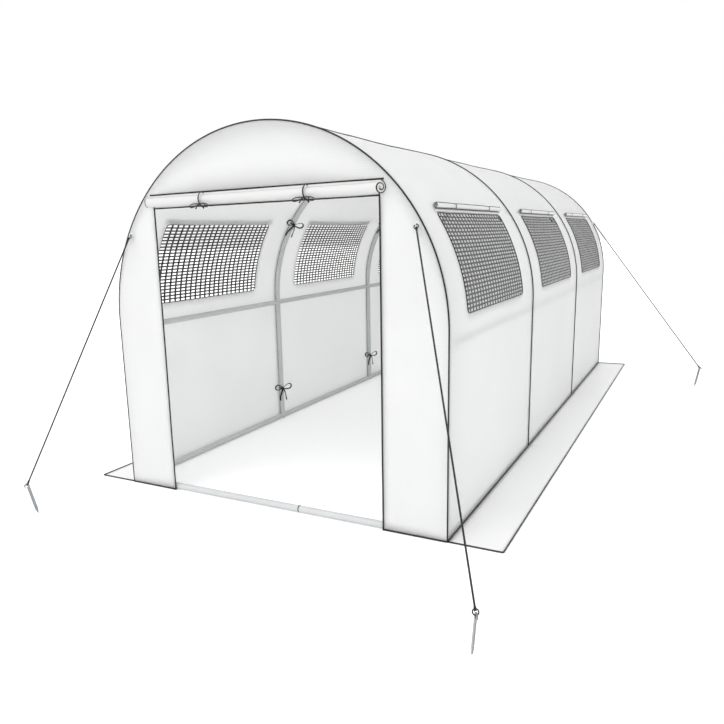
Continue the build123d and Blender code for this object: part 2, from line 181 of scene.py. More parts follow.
def slack(y, s, depth):
    """How far the film sits inside its frame line: depth in the middle of each panel, easing to nothing at
    the arches and at the tubes that run lengthways, made a little uneven by crossed waves."""
    to_arch = np.abs(y[..., None] - SEAMS).min(-1)
    to_tube = np.abs(s[..., None] - HELD_S).min(-1)
    free = ease(to_arch / SLACK_FROM_ARCH) * ease(to_tube / SLACK_FROM_TUBE)
    return depth * free * (1 + SLACK_UNEVEN * unevenness(y * 2, s * 2))


def cover_point(y, s, lift=0.0, depth=0.0):
    """A point on the cover: y along the tunnel, s up the right leg, over the half circle of the crown and
    down the left leg, moved outwards by lift and inwards by the film's slack."""
    y, s = np.broadcast_arrays(np.asarray(y, float), np.asarray(s, float))
    angle = np.clip((s - SPRING) / HALF, 0, math.pi)
    below = np.maximum(0, SPRING - s) + np.maximum(0, s - SPRING - math.pi * HALF)
    out = lift - slack(y, s, depth)
    x = (HALF + out) * np.cos(angle)
    z = SPRING + (HALF + out) * np.sin(angle) - below
    return np.stack([x, y, z], -1)


def cover_normal(s):
    """The outward direction of the cover at s."""
    angle = np.clip((np.asarray(s, float) - SPRING) / HALF, 0, math.pi)
    return np.stack([np.cos(angle), np.zeros_like(angle), np.sin(angle)], -1)


def wall_top(x):
    """Height of an end wall over x: the leg's height plus the half circle."""
    return SPRING + np.sqrt(np.maximum(0, HALF**2 - x**2))


def sweep(path, up, section, closed=False):
    """A profile carried along a path. Each ring is the path's point plus the section's two coordinates
    along the side and the top directions: side is the path's direction crossed with up, and top is side
    crossed with that direction. Open paths are closed by a last ring of no size at each end. Returns the
    grid of points and the grid of distances, round the section and along the path."""
    path = np.asarray(path, float)
    up = np.broadcast_to(np.asarray(up, float), path.shape)
    if closed:
        path = np.concatenate([path, path[:1]])
        up = np.concatenate([up, up[:1]])
        tangent = np.roll(path[:-1], -1, 0) - np.roll(path[:-1], 1, 0)
        tangent = np.concatenate([tangent, tangent[:1]])
    else:
        tangent = np.gradient(path, axis=0)
    tangent = unit(tangent)
    side = unit(np.cross(tangent, up))
    top = np.cross(side, tangent)
    ring = np.concatenate([section, section[:1]])
    points = path[:, None] + ring[None, :, :1] * side[:, None] + ring[None, :, 1:] * top[:, None]
    along = np.concatenate([[0], np.cumsum(np.linalg.norm(np.diff(path, axis=0), axis=1))])
    round_it = np.concatenate([[0], np.cumsum(np.linalg.norm(np.diff(ring, axis=0), axis=1))])
    uv = np.stack(np.meshgrid(round_it, along), -1)
    if not closed:
        first = np.broadcast_to(path[:1, None], points[:1].shape)
        last = np.broadcast_to(path[-1:, None], points[:1].shape)
        points = np.concatenate([first, points, last])
        uv = np.concatenate([uv[:1], uv, uv[-1:]])
    return points[:, ::-1], uv[:, ::-1]


def circle_section(radius, sides):
    """A round profile: cosine and sine of equal turns, times the radius."""
    turn = np.arange(sides) * 2 * math.pi / sides
    return radius * np.stack([np.cos(turn), np.sin(turn)], -1)


def slab_section(width, thickness, stations=2, rounding=4):
    """A flat profile with round edges: points across the top, a half circle, back across the bottom, and a
    half circle."""
    reach = (width - thickness) / 2
    across = np.linspace(-reach, reach, stations)
    turn = np.linspace(math.pi / 2, -math.pi / 2, rounding + 1)[1:-1]
    r = thickness / 2
    top = np.stack([across, np.full(stations, r)], -1)
    edge = np.stack([reach + r * np.cos(turn), r * np.sin(turn)], -1)
    bottom = np.stack([across[::-1], np.full(stations, -r)], -1)
    outline = np.concatenate([top, edge, bottom, edge * (-1, -1)])
    return outline[::-1]


def plank_section(width, thickness, corner, stations):
    """A flat profile with square edges: points along the top and the bottom, and each corner cut off."""
    x, y = width / 2, thickness / 2
    top = np.stack([np.linspace(-x + corner, x - corner, stations), np.full(stations, y)], -1)
    edge = np.array([(x, y - corner), (x, 0.0), (x, corner - y)])
    outline = np.concatenate([top, edge, -top, -edge])
    return outline[::-1]


def bend_corners(points, radius, closed=False):
    """A path through points whose corners are cut by a curve: each corner is a quadratic curve that starts
    and ends a radius away from it, read at five places."""
    points = np.asarray(points, float)
    before, after = np.roll(points, 1, 0), np.roll(points, -1, 0)
    t = np.linspace(0, 1, 5)[None, :, None]
    a = (points + radius * unit(before - points))[:, None]
    c = (points + radius * unit(after - points))[:, None]
    curve = (1 - t) ** 2 * a + 2 * t * (1 - t) * points[:, None] + t**2 * c
    if closed:
        return curve.reshape(-1, points.shape[1])
    return np.concatenate([points[:1], curve[1:-1].reshape(-1, points.shape[1]), points[-1:]])


TOUCHING = 1e-6  # points nearer to each other than this are one


def spaced(path, step):
    """The same path with points about a step apart: its coordinates read at equal distances along it."""
    path = np.asarray(path, float)
    along = np.concatenate([[0], np.cumsum(np.linalg.norm(np.diff(path, axis=0), axis=1))])
    at = np.linspace(0, along[-1], max(2, round(along[-1] / step) + 1))
    at = np.union1d(at, along)
    at = at[np.concatenate([[True], np.diff(at) > TOUCHING])]
    return np.stack([np.interp(at, along, path[:, k]) for k in range(path.shape[1])], -1)


def mirrored(patches, signs):
    """Patches turned over to another side of the tunnel: each coordinate, from the tunnel's middle, times
    its sign, and columns reversed if that turns the faces inside out."""
    odd = np.prod(signs) < 0
    turned = [(MIDDLE + (points - MIDDLE) * signs, uv) for points, uv in patches]
    return [(points[:, ::-1], uv[:, ::-1]) if odd else (points, uv) for points, uv in turned]


def ellipsoid(centre, axes, rows=8, columns=12):
    """A closed lump: sine and cosine of two angles along three half axes, its poles at the ends of the
    last."""
    a, b = np.meshgrid(np.linspace(0, 2 * math.pi, columns + 1), np.linspace(0, math.pi, rows + 1))
    local = np.stack([np.sin(b) * np.cos(a), np.sin(b) * np.sin(a), -np.cos(b)], -1)
    axes = np.asarray(axes, float)
    points = np.asarray(centre) + local @ axes
    if np.linalg.det(axes) < 0:
        points, a = points[:, ::-1], a[:, ::-1]
    size = 0.01  # of its flat coordinates, for the threads of its finish
    return points, np.stack([a, b], -1) * size


def joined(patches, drop):
    """The points, the flat coordinates and the four-sided faces of grids, one after the other. Each
    patch is its points and its flat coordinates, rows by columns. drop tells, from the middles of a
    patch's faces in flat coordinates, which are left out."""
    points, flats, faces, start = [], [], [], 0
    for grid, flat in patches:
        rows, columns = grid.shape[:2]
        index = start + np.arange(rows * columns).reshape(rows, columns)
        quads = np.stack([index[:-1, :-1], index[:-1, 1:], index[1:, 1:], index[1:, :-1]], -1)
        if drop is not None:
            middle = (flat[:-1, :-1] + flat[1:, 1:]) / 2
            quads = quads[~drop(middle[..., 0], middle[..., 1])]
        points.append(grid.reshape(-1, 3))
        flats.append(flat.reshape(-1, 2))
        faces.append(quads.reshape(-1, 4))
        start += rows * columns
    return np.concatenate(points), np.concatenate(flats), np.concatenate(faces)


def make_piece(name, patches, finish, drop=None, thickness=0.0):
    """One mesh from patches, its doubles merged, with its finish and slot. A thickness gives it a wall
    that grows inwards from its faces."""
    points, flats, faces = joined(patches, drop)
    mesh = bpy.data.meshes.new(name)
    mesh.vertices.add(len(points))
    mesh.vertices.foreach_set("co", points.astype(np.float32).ravel())
    mesh.loops.add(faces.size)
    mesh.loops.foreach_set("vertex_index", faces.astype(np.int32).ravel())
    mesh.polygons.add(len(faces))
    mesh.polygons.foreach_set("loop_start", np.arange(0, faces.size, 4, dtype=np.int32))
    uv = mesh.uv_layers.new(name="Flat")
    uv.uv.foreach_set("vector", flats[faces.ravel()].astype(np.float32).ravel())
    mesh.update(calc_edges=True)
    weld = bmesh.new()
    weld.from_mesh(mesh)
    bmesh.ops.remove_doubles(weld, verts=weld.verts, dist=TOUCHING)
    loose = [v for v in weld.verts if not v.link_faces]
    bmesh.ops.delete(weld, geom=loose, context="VERTS")
    weld.to_mesh(mesh)
    weld.free()
    mesh.validate()
    mesh.shade_smooth()
    mesh.materials.append(finish)
    piece = bpy.data.objects.new(name, mesh)
    bpy.context.scene.collection.objects.link(piece)
    if thickness:
        wall = piece.modifiers.new("Film thickness", "SOLIDIFY")
        wall.thickness, wall.offset, wall.use_even_offset = thickness, -1.0, True
    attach(piece, "root")
    return piece


# ---------------------------------------------------------------- finishes

WHITE = (1.0, 1.0, 1.0, 1.0)


def linear(hex_colour):
    """Linear red, green and blue of an sRGB hex value."""
    parts = [int(hex_colour[i : i + 2], 16) / 255 for i in (1, 3, 5)]
    return tuple(c / 12.92 if c <= 0.04045 else ((c + 0.055) / 1.055) ** 2.4 for c in parts)


def add_node(tree, kind, settings=None, values=None, links=None):
    """Adds a node with its settings, its socket values, and its links from other nodes' outputs."""
    node = tree.nodes.new(kind)
    for name, value in (settings or {}).items():
        setattr(node, name, value)
    for name, value in (values or {}).items():
        node.inputs[name].default_value = value
    for name, source in (links or {}).items():
        tree.links.new(source, node.inputs[name])
    return node


def shade(colour, factor):
    """A colour with each part times a factor, and its alpha."""
    return (*(min(1.0, c * factor) for c in colour), 1.0)


def weave(tree, flat, spacing, crossing):
    """Threads that cross: two waves square to each other that each repeat in one spacing, and either the
    larger of the two or their product. A wave of scale 1 repeats in a tenth of pi."""
    waves = [
        add_node(
            tree,
            "ShaderNodeTexWave",
            {"wave_type": "BANDS", "bands_direction": direction, "wave_profile": "SIN"},
            {"Scale": math.pi / 10 / spacing, "Distortion": 0.0},
            {"Vector": flat},
        )
        for direction in ("X", "Y")
    ]
    links = {number: wave.outputs["Fac"] for number, wave in enumerate(waves)}
    return add_node(tree, "ShaderNodeMath", {"operation": crossing}, None, links).outputs[0]


def solid_surface(tree, spots, colours, wiped, roughness, grain, relief, body):
    """The surface of a solid material. Its colour goes from one to the other of two colours with spots,
    its roughness from one to the other of two with wiped, and grain stands out by relief: a strength and
    a depth in metres. body holds the shader's own values."""
    tint = add_node(
        tree,
        "ShaderNodeMix",
        {"data_type": "RGBA"},
        {"A": colours[0], "B": colours[1]},
        {"Factor": spots},
    )
    gloss = add_node(
        tree,
        "ShaderNodeMapRange",
        None,
        {"To Min": roughness[0], "To Max": roughness[1]},
        {"Value": wiped},
    )
    bump = add_node(
        tree, "ShaderNodeBump", None, {"Strength": relief[0], "Distance": relief[1]}, {"Height": grain}
    )
    solid = add_node(
        tree,
        "ShaderNodeBsdfPrincipled",
        None,
        body,
        {
            "Base Color": tint.outputs["Result"],
            "Roughness": gloss.outputs["Result"],
            "Normal": bump.outputs["Normal"],
        },
    )
    return solid.outputs["BSDF"]


def film_finish(tree, colour, through):
    """Woven polyethylene film, laminated: a milky sheet with a fine scrim of flat tapes under a smooth
    skin, a soft sheen, faint clouding, and light that comes through it."""
    place = add_node(tree, "ShaderNodeTexCoord")
    # The real tapes are 2 to 3 mm apart, too fine to show, and are drawn 12 mm apart
    scrim = weave(tree, place.outputs["UV"], 0.012, "MAXIMUM")
    lines = add_node(
        tree, "ShaderNodeMapRange", None, {"From Min": 0.80, "From Max": 1.0}, {"Value": scrim}
    )
    # Clouds of about 450 mm in the milky layer
    clouds = add_node(
        tree,
        "ShaderNodeTexNoise",
        None,
        {"Scale": 2.2, "Detail": 4.0},
        {"Vector": place.outputs["Object"]},
    )
    # Creases about 140 mm apart, from the sheet's folds
    creases = add_node(
        tree,
        "ShaderNodeTexNoise",
        None,
        {"Scale": 7.0, "Detail": 3.0, "Distortion": 0.6},
        {"Vector": place.outputs["Object"]},
    )
    cloudy = add_node(
        tree,
        "ShaderNodeMix",
        {"data_type": "RGBA"},
        {"A": shade(colour, 0.955), "B": shade(colour, 1.02)},
        {"Factor": clouds.outputs["Fac"]},
    )
    # The scrim's tapes keep back a little of each of red, green and blue
    tint = add_node(
        tree,
        "ShaderNodeMix",
        {"data_type": "RGBA", "blend_type": "MULTIPLY"},
        {"B": (0.965, 0.97, 0.97, 1.0)},
        {"Factor": lines.outputs["Result"], "A": cloudy.outputs["Result"]},
    )
    gloss = add_node(
        tree,
        "ShaderNodeMapRange",
        None,
        {"To Min": 0.36, "To Max": 0.52},
        {"Value": clouds.outputs["Fac"]},
    )
    soft = add_node(
        tree,
        "ShaderNodeBump",
        None,
        {"Strength": 0.20, "Distance": 0.012},
        {"Height": creases.outputs["Fac"]},
    )
    bump = add_node(
        tree,
        "ShaderNodeBump",
        None,
        {"Strength": 0.16, "Distance": 0.0006},
        {"Height": lines.outputs["Result"], "Normal": soft.outputs["Normal"]},
    )
    skin = add_node(
        tree,
        "ShaderNodeBsdfPrincipled",
        None,
        {"IOR": 1.5, "Specular IOR Level": 0.35},
        {
            "Base Color": tint.outputs["Result"],
            "Roughness": gloss.outputs["Result"],
            "Normal": bump.outputs["Normal"],
        },
    )
    glow = add_node(
        tree,
        "ShaderNodeBsdfTranslucent",
        None,
        None,
        {"Color": tint.outputs["Result"], "Normal": bump.outputs["Normal"]},
    )
    mixed = add_node(
        tree,
        "ShaderNodeMixShader",
        None,
        {"Fac": through},
        {1: skin.outputs["BSDF"], 2: glow.outputs["BSDF"]},
    )
    return mixed.outputs["Shader"]


def coated_steel_finish(tree, colour):
    """Powder coated steel: a thick matt-satin paint baked on, with a fine orange peel and a few scuffs."""
    place = add_node(tree, "ShaderNodeTexCoord")
    # Orange peel of about 4 mm, a little coarser than the real 1 to 3 mm, so that it shows
    peel = add_node(
        tree,
        "ShaderNodeTexNoise",
        None,
        {"Scale": 260.0, "Detail": 2.0},
        {"Vector": place.outputs["Object"]},
    )
    # Scuffs and wiped places about 90 mm long
    scuffs = add_node(
        tree,
        "ShaderNodeTexNoise",
        None,
        {"Scale": 11.0, "Detail": 6.0},
        {"Vector": place.outputs["Object"]},
    )
    return solid_surface(
        tree,
        scuffs.outputs["Fac"],
        (shade(colour, 0.93), shade(colour, 1.04)),
        scuffs.outputs["Fac"],
        (0.28, 0.50),
        peel.outputs["Fac"],
        (0.15, 0.0004),
        {"IOR": 1.5},
    )


def woven_finish(tree, colour, pitch, roughness, sheen):
    """Polyester or polypropylene yarn: dark threads a pitch apart that cross and catch a soft light. A
    pitch of 1.5 to 2 mm is coarser than the real one of about 0.3 mm, so that the threads show."""
    place = add_node(tree, "ShaderNodeTexCoord")
    threads = weave(tree, place.outputs["UV"], pitch, "MULTIPLY")
    # Wear in spots of about 25 mm
    wear = add_node(
        tree,
        "ShaderNodeTexNoise",
        None,
        {"Scale": 40.0, "Detail": 3.0},
        {"Vector": place.outputs["Object"]},
    )
    blend = add_node(
        tree, "ShaderNodeMath", {"operation": "MULTIPLY"}, None, {0: threads, 1: wear.outputs["Fac"]}
    )
    tint = add_node(
        tree,
        "ShaderNodeMix",
        {"data_type": "RGBA"},
        {"A": shade(colour, 0.75), "B": shade(colour, 1.6)},
        {"Factor": blend.outputs[0]},
    )
    bump = add_node(
        tree, "ShaderNodeBump", None, {"Strength": 0.5, "Distance": 0.0004}, {"Height": threads}
    )
    yarn = add_node(
        tree,
        "ShaderNodeBsdfPrincipled",
        None,
        {"Roughness": roughness, "Sheen Weight": sheen, "Sheen Roughness": 0.5, "IOR": 1.5},
        {"Base Color": tint.outputs["Result"], "Normal": bump.outputs["Normal"]},
    )
    return yarn.outputs["BSDF"]


def moulded_finish(tree, colour, roughness, grain, depth):
    """Moulded or extruded polymer: even colour, a fine grain from the die, a dull gloss. grain is how
    many grains there are to a metre: 300 to 500, for 2 to 3 mm each, which is coarser than the real ones,
    so that it shows."""
    place = add_node(tree, "ShaderNodeTexCoord")
    skin = add_node(
        tree,
        "ShaderNodeTexNoise",
        None,
        {"Scale": grain, "Detail": 3.0},
        {"Vector": place.outputs["Object"]},
    )
    return solid_surface(
        tree,
        skin.outputs["Fac"],
        (shade(colour, 0.82), shade(colour, 1.25)),
        skin.outputs["Fac"],
        (roughness - 0.08, roughness + 0.08),
        skin.outputs["Fac"],
        (0.25, depth),
        {"IOR": 1.49},
    )


def zinc_finish(tree, colour):
    """Bright zinc plated steel: a pale bluish metal with faint spangle and soft streaks from rolling."""
    place = add_node(tree, "ShaderNodeTexCoord")
    # Spangle of about 4.5 mm
    spangle = add_node(
        tree, "ShaderNodeTexVoronoi", None, {"Scale": 220.0}, {"Vector": place.outputs["Object"]}
    )
    # Streaks 2.5 mm apart and about 30 mm long
    stretch = add_node(
        tree,
        "ShaderNodeMapping",
        None,
        {"Scale": (400.0, 400.0, 30.0)},
        {"Vector": place.outputs["Object"]},
    )
    streaks = add_node(
        tree,
        "ShaderNodeTexNoise",
        None,
        {"Scale": 1.0, "Detail": 2.0},
        {"Vector": stretch.outputs["Vector"]},
    )
    return solid_surface(
        tree,
        spangle.outputs["Color"],
        (shade(colour, 0.86), shade(colour, 1.12)),
        streaks.outputs["Fac"],
        (0.24, 0.44),
        streaks.outputs["Fac"],
        (0.12, 0.0003),
        {"Metallic": 1.0},
    )


def seen_ray(tree):
    """1 for a ray from the camera, from a mirror or through a clear surface, and 0 for any other: the
    largest of the three."""
    rays = add_node(tree, "ShaderNodeLightPath")
    seen = rays.outputs["Is Camera Ray"]
    for other in ("Is Glossy Ray", "Is Transmission Ray"):
        larger = add_node(
            tree, "ShaderNodeMath", {"operation": "MAXIMUM"}, None, {0: seen, 1: rays.outputs[other]}
        )
        seen = larger.outputs[0]
    return seen


def floor_finish(tree, colour, lift):
    """Matt pale floor that keeps the shadows and meets the white background: a plain diffuse surface, with
    a little of its own light for rays from the camera, a mirror or a clear surface."""
    amount = add_node(
        tree, "ShaderNodeMath", {"operation": "MULTIPLY"}, {1: lift}, {0: seen_ray(tree)}
    )
    matt = add_node(tree, "ShaderNodeBsdfDiffuse", None, {"Color": shade(colour, 1.0)})
    own = add_node(
        tree, "ShaderNodeEmission", None, {"Color": WHITE}, {"Strength": amount.outputs[0]}
    )
    both = add_node(
        tree, "ShaderNodeAddShader", None, None, {0: matt.outputs["BSDF"], 1: own.outputs["Emission"]}
    )
    return both.outputs["Shader"]


def kept(name, surface, *values):
    """The finish of that name, made the first time it is asked for: a material whose surface is what the
    function surface gives for those values."""
    finish = bpy.data.materials.get(name)
    if finish is None:
        finish = bpy.data.materials.new(name)
        finish.use_nodes = True
        tree = finish.node_tree
        tree.nodes.clear()
        shader = surface(tree, *values)
        add_node(tree, "ShaderNodeOutputMaterial", None, None, {"Surface": shader})
    return finish


def rolled_film(film):
    """The finish of film that is rolled up, its colour painted a shade darker than the film's so that the
    brightly lit rolls do not glare white.
    """
    return kept("Woven polyethylene film, rolled", film_finish, film.rolled_shaded_colour, film.laid_glow)


def piping_cord(trim):
    """The finish of every piping cord: a dull black polymer."""
    return kept("Extruded piping cord", moulded_finish, trim.colour, 0.45, 300.0, 0.0003)


def tie_ribbon(trim):
    """The finish of every ribbon."""
    return kept("Polyester ribbon", woven_finish, trim.ribbon_colour, 0.002, 0.6, 0.3)


# ---------------------------------------------------------------- settings


class PolytunnelFilmSettings(bpy.types.PropertyGroup):
    """Thickness, slack and colours of the film."""

    thickness: FloatProperty(
        name="Film thickness",
        description="Thickness of the cover film as it is shown",
        default=0.0012,
        min=0.0002,
        max=0.003,
        unit="LENGTH",
    )
    slack: FloatProperty(
        name="Slack",
        description="How far the film sits inwards in the middle of a panel",
        default=0.009,
        min=0.0,
        max=0.03,
        unit="LENGTH",
    )
    colour: FloatVectorProperty(
        name="Film colour",
        description="Colour of the film",
        subtype="COLOR",
        default=linear("#FBFBFB"),
        min=0.0,
        max=1.0,
    )
    glow: FloatProperty(
        name="Light through",
        description="Share of the light that comes through the film",
        default=0.60,
        min=0.0,
        max=1.0,
        subtype="FACTOR",
    )
    wall_colour: FloatVectorProperty(
        name="End wall colour",
        description="Colour of the heavier film of the two end walls",
        subtype="COLOR",
        default=linear("#F9F9F9"),
        min=0.0,
        max=1.0,
    )
    wall_glow: FloatProperty(
        name="Light through the end walls",
        description="Share of the light that comes through the heavier film of the two end walls",
        default=0.32,
        min=0.0,
        max=1.0,
        subtype="FACTOR",
    )
    # Painted shade: the rolled film gets a colour darker than the film's so that the brightly lit rolls do
    # not glare white
    rolled_shaded_colour: FloatVectorProperty(
        name="Rolled film colour",
        description="Colour of the film that is rolled up, painted darker as shade so that it does not glare",
        subtype="COLOR",
        default=linear("#E9E9E8"),
        min=0.0,
        max=1.0,
    )
    laid_glow: FloatProperty(
        name="Light through laid film",
        description="Share of the light that comes through film that is rolled up or lies on the ground",
        default=0.10,
        min=0.0,
        max=1.0,
        subtype="FACTOR",
    )


class PolytunnelTrimSettings(bpy.types.PropertyGroup):
    """Sizes and colours of the piping and the ribbons."""

    piping: FloatProperty(
        name="Piping diameter",
        description="Diameter of the piping cord along seams and edges",
        default=0.0080,
        min=0.002,
        max=0.02,
        unit="LENGTH",
    )
    crown_seam: FloatProperty(
        name="Crown seam angle",
        description="From the ridge to each lengthways seam of the crown",
        default=math.radians(14.4),
        subtype="ANGLE",
    )
    colour: FloatVectorProperty(
        name="Piping colour",
        description="Colour of the piping cord",
        subtype="COLOR",
        default=linear("#0F0F10"),
        min=0.0,
        max=1.0,
    )
    ribbon_colour: FloatVectorProperty(
        name="Ribbon colour",
        description="Colour of the ribbon ties",
        subtype="COLOR",
        default=linear("#0F0F10"),
        min=0.0,
        max=1.0,
    )


class PolytunnelNetSettings(bpy.types.PropertyGroup):
    """Cells, tapes and colour of the window nets."""

    columns: IntProperty(
        name="Cells along",
        description="Net cells along a window",
        default=22,
        min=2,
        max=80,
    )
    rows: IntProperty(
        name="Cells up",
        description="Net cells up a window",
        default=24,
        min=2,
        max=80,
    )
    upright_tape: FloatProperty(
        name="Upright tape width",
        description="Width of the net's tapes that run up the window",
        default=0.0168,
        min=0.001,
        max=0.03,
        unit="LENGTH",
    )
    level_tape: FloatProperty(
        name="Level tape width",
        description="Width of the net's tapes that run along the window",
        default=0.0095,
        min=0.001,
        max=0.02,
        unit="LENGTH",
    )
    thickness: FloatProperty(
        name="Tape thickness",
        description="Thickness of the net's tapes",
        default=0.0010,
        min=0.0002,
        max=0.003,
        unit="LENGTH",
    )
    colour: FloatVectorProperty(
        name="Net colour",
        description="Colour of the net's tapes",
        subtype="COLOR",
        default=linear("#141415"),
        min=0.0,
        max=1.0,
    )


class PolytunnelRopeSettings(bpy.types.PropertyGroup):
    """Sizes and colour of the guy ropes."""

    diameter: FloatProperty(
        name="Rope diameter",
        description="Diameter of a guy rope",
        default=0.006,
        min=0.002,
        max=0.02,
        unit="LENGTH",
    )
    lay: FloatProperty(
        name="Lay length",
        description="Distance in which a strand goes once round the rope",
        default=0.021,
        min=0.005,
        max=0.1,
        unit="LENGTH",
    )
    colour: FloatVectorProperty(
        name="Rope colour",
        description="Colour of the guy ropes",
        subtype="COLOR",
        default=linear("#111112"),
        min=0.0,
        max=1.0,
    )


class PolytunnelHardwareSettings(bpy.types.PropertyGroup):
    """Colours of the tubes, pegs and lugs."""

    tube_colour: FloatVectorProperty(
        name="Tube colour",
        description="Colour of the powder coated tubes",
        subtype="COLOR",
        default=linear("#D3D5D6"),
        min=0.0,
        max=1.0,
    )
    zinc_colour: FloatVectorProperty(
        name="Zinc colour",
        description="Colour of the zinc plated pegs",
        subtype="COLOR",
        default=linear("#8E9296"),
        min=0.0,
        max=1.0,
    )
    lug_colour: FloatVectorProperty(
        name="Lug colour",
        description="Colour of the moulded lugs",
        subtype="COLOR",
        default=linear("#E2E4E4"),
        min=0.0,
        max=1.0,
    )


class PolytunnelStageSettings(bpy.types.PropertyGroup):
    """Lights, floor and lens."""

    ambient: FloatProperty(
        name="Room light",
        description="Strength of the even light from all round",
        default=1.12,
        min=0.0,
        max=2.0,
    )
    sun: FloatProperty(
        name="Key light",
        description="Strength of the broad lamp from the upper left",
        default=0.50,
        min=0.0,
        max=5.0,
    )
    floor_colour: FloatVectorProperty(
        name="Floor colour",
        description="Colour of the floor",
        subtype="COLOR",
        default=linear("#F9F9F9"),
        min=0.0,
        max=1.0,
    )
    floor_lift: FloatProperty(
        name="Floor light",
        description="Light that the floor adds of its own when it is seen",
        default=0.25,
        min=0.0,
        max=1.0,
    )
    lens: FloatProperty(
        name="Lens",
        description="Focal length of the camera",
        default=34.12,
        min=1.0,
        max=500.0,
        unit="CAMERA",
    )


# ---------------------------------------------------------------- film cover


FILM_INSET = 0.0005  # how far the film's outer face lies inside the model's
CORD_SIDES = 8


def piping(path, normals, radius, closed=False):
    """A round cord sewn on along a path: its middle lies a third of its radius above the sheet."""
    path = np.asarray(path, float) + radius * 0.33 * np.asarray(normals, float)
    return sweep(path, normals, circle_section(radius, CORD_SIDES), closed)


class POLYTUNNEL_OT_cover(bpy.types.Operator):
    """Makes the film cover of each bay, with its window openings, and the piping on its seams."""

    bl_idname = "polytunnel.cover"
    bl_label = "Film cover"
    AROUND_STEP, ALONG_STEP = 0.045, 0.055  # of the film's grid
    ARCH_CORD_STEP, LONG_CORD_STEP = 0.03, 0.05
    END_INSET = 0.4  # how far the piping of the two ends lies inwards, over its radius

    def execute(self, context):
        film, trim = context.scene.polytunnel_film, context.scene.polytunnel_trim
        finish = kept("Woven polyethylene film", film_finish, film.colour, film.glow)
        piped = self.seam_piping(trim.piping / 2, film.slack, trim.crown_seam, piping_cord(trim))
        low, high = WINDOW_LOW_S, WINDOW_HIGH_S
        edges = [0, SPRING, low, high, AROUND / 2, AROUND - high, AROUND - low, AROUND - SPRING, AROUND]
        s_lines = cuts(edges, self.AROUND_STEP)
        for number, middle in enumerate(BAY_MIDDLES, 1):
            start, end = SEAMS[number - 1], SEAMS[number]
            y_lines = cuts([start, middle - WINDOW_HALF, middle + WINDOW_HALF, end], self.ALONG_STEP)
            y, s = np.meshgrid(y_lines, s_lines)
            patch = (cover_point(y, s, -FILM_INSET, film.slack), np.stack([y, s], -1))
            piece = make_piece(
                f"cover_bay_{number}",
                [patch],
                finish,
                drop=self.in_windows(middle),
                thickness=film.thickness,
            )
            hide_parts(f"cover_left_{number}", f"cover_right_{number}")
        return {"FINISHED"}

    def in_windows(self, middle):
        """A test for the places in a bay's two windows: y within half a window of the bay's middle, and
        the way up from the nearer ground between a window's lower and upper edge."""

        def inside(y, s):
            up = np.minimum(s, AROUND - s)
            return (np.abs(y - middle) < WINDOW_HALF) & (up > WINDOW_LOW_S) & (up < WINDOW_HIGH_S)

        return inside

    def seam_piping(self, radius, depth, crown, cord):
        """Piping over each arch, a little in from the cover's ends at the first and the last, along the
        two ground hems, and on the two lengthways crown seams."""
        s = cuts([radius, SPRING, AROUND - SPRING, AROUND - radius], self.ARCH_CORD_STEP)
        inset = [radius * self.END_INSET, 0, 0, -radius * self.END_INSET]
        cords = []
        for y, move in zip(SEAMS, inset):
            cords.append(piping(cover_point(y + move, s), cover_normal(s), radius))
        y = cuts(list(SEAMS), self.LONG_CORD_STEP)
        hems = (radius, AROUND - radius)
        for place in (*hems, AROUND / 2 - HALF * crown, AROUND / 2 + HALF * crown):
            cords.append(piping(cover_point(y, place, 0, depth), cover_normal(place), radius))
        return [make_piece("cover_piping", cords, cord)]


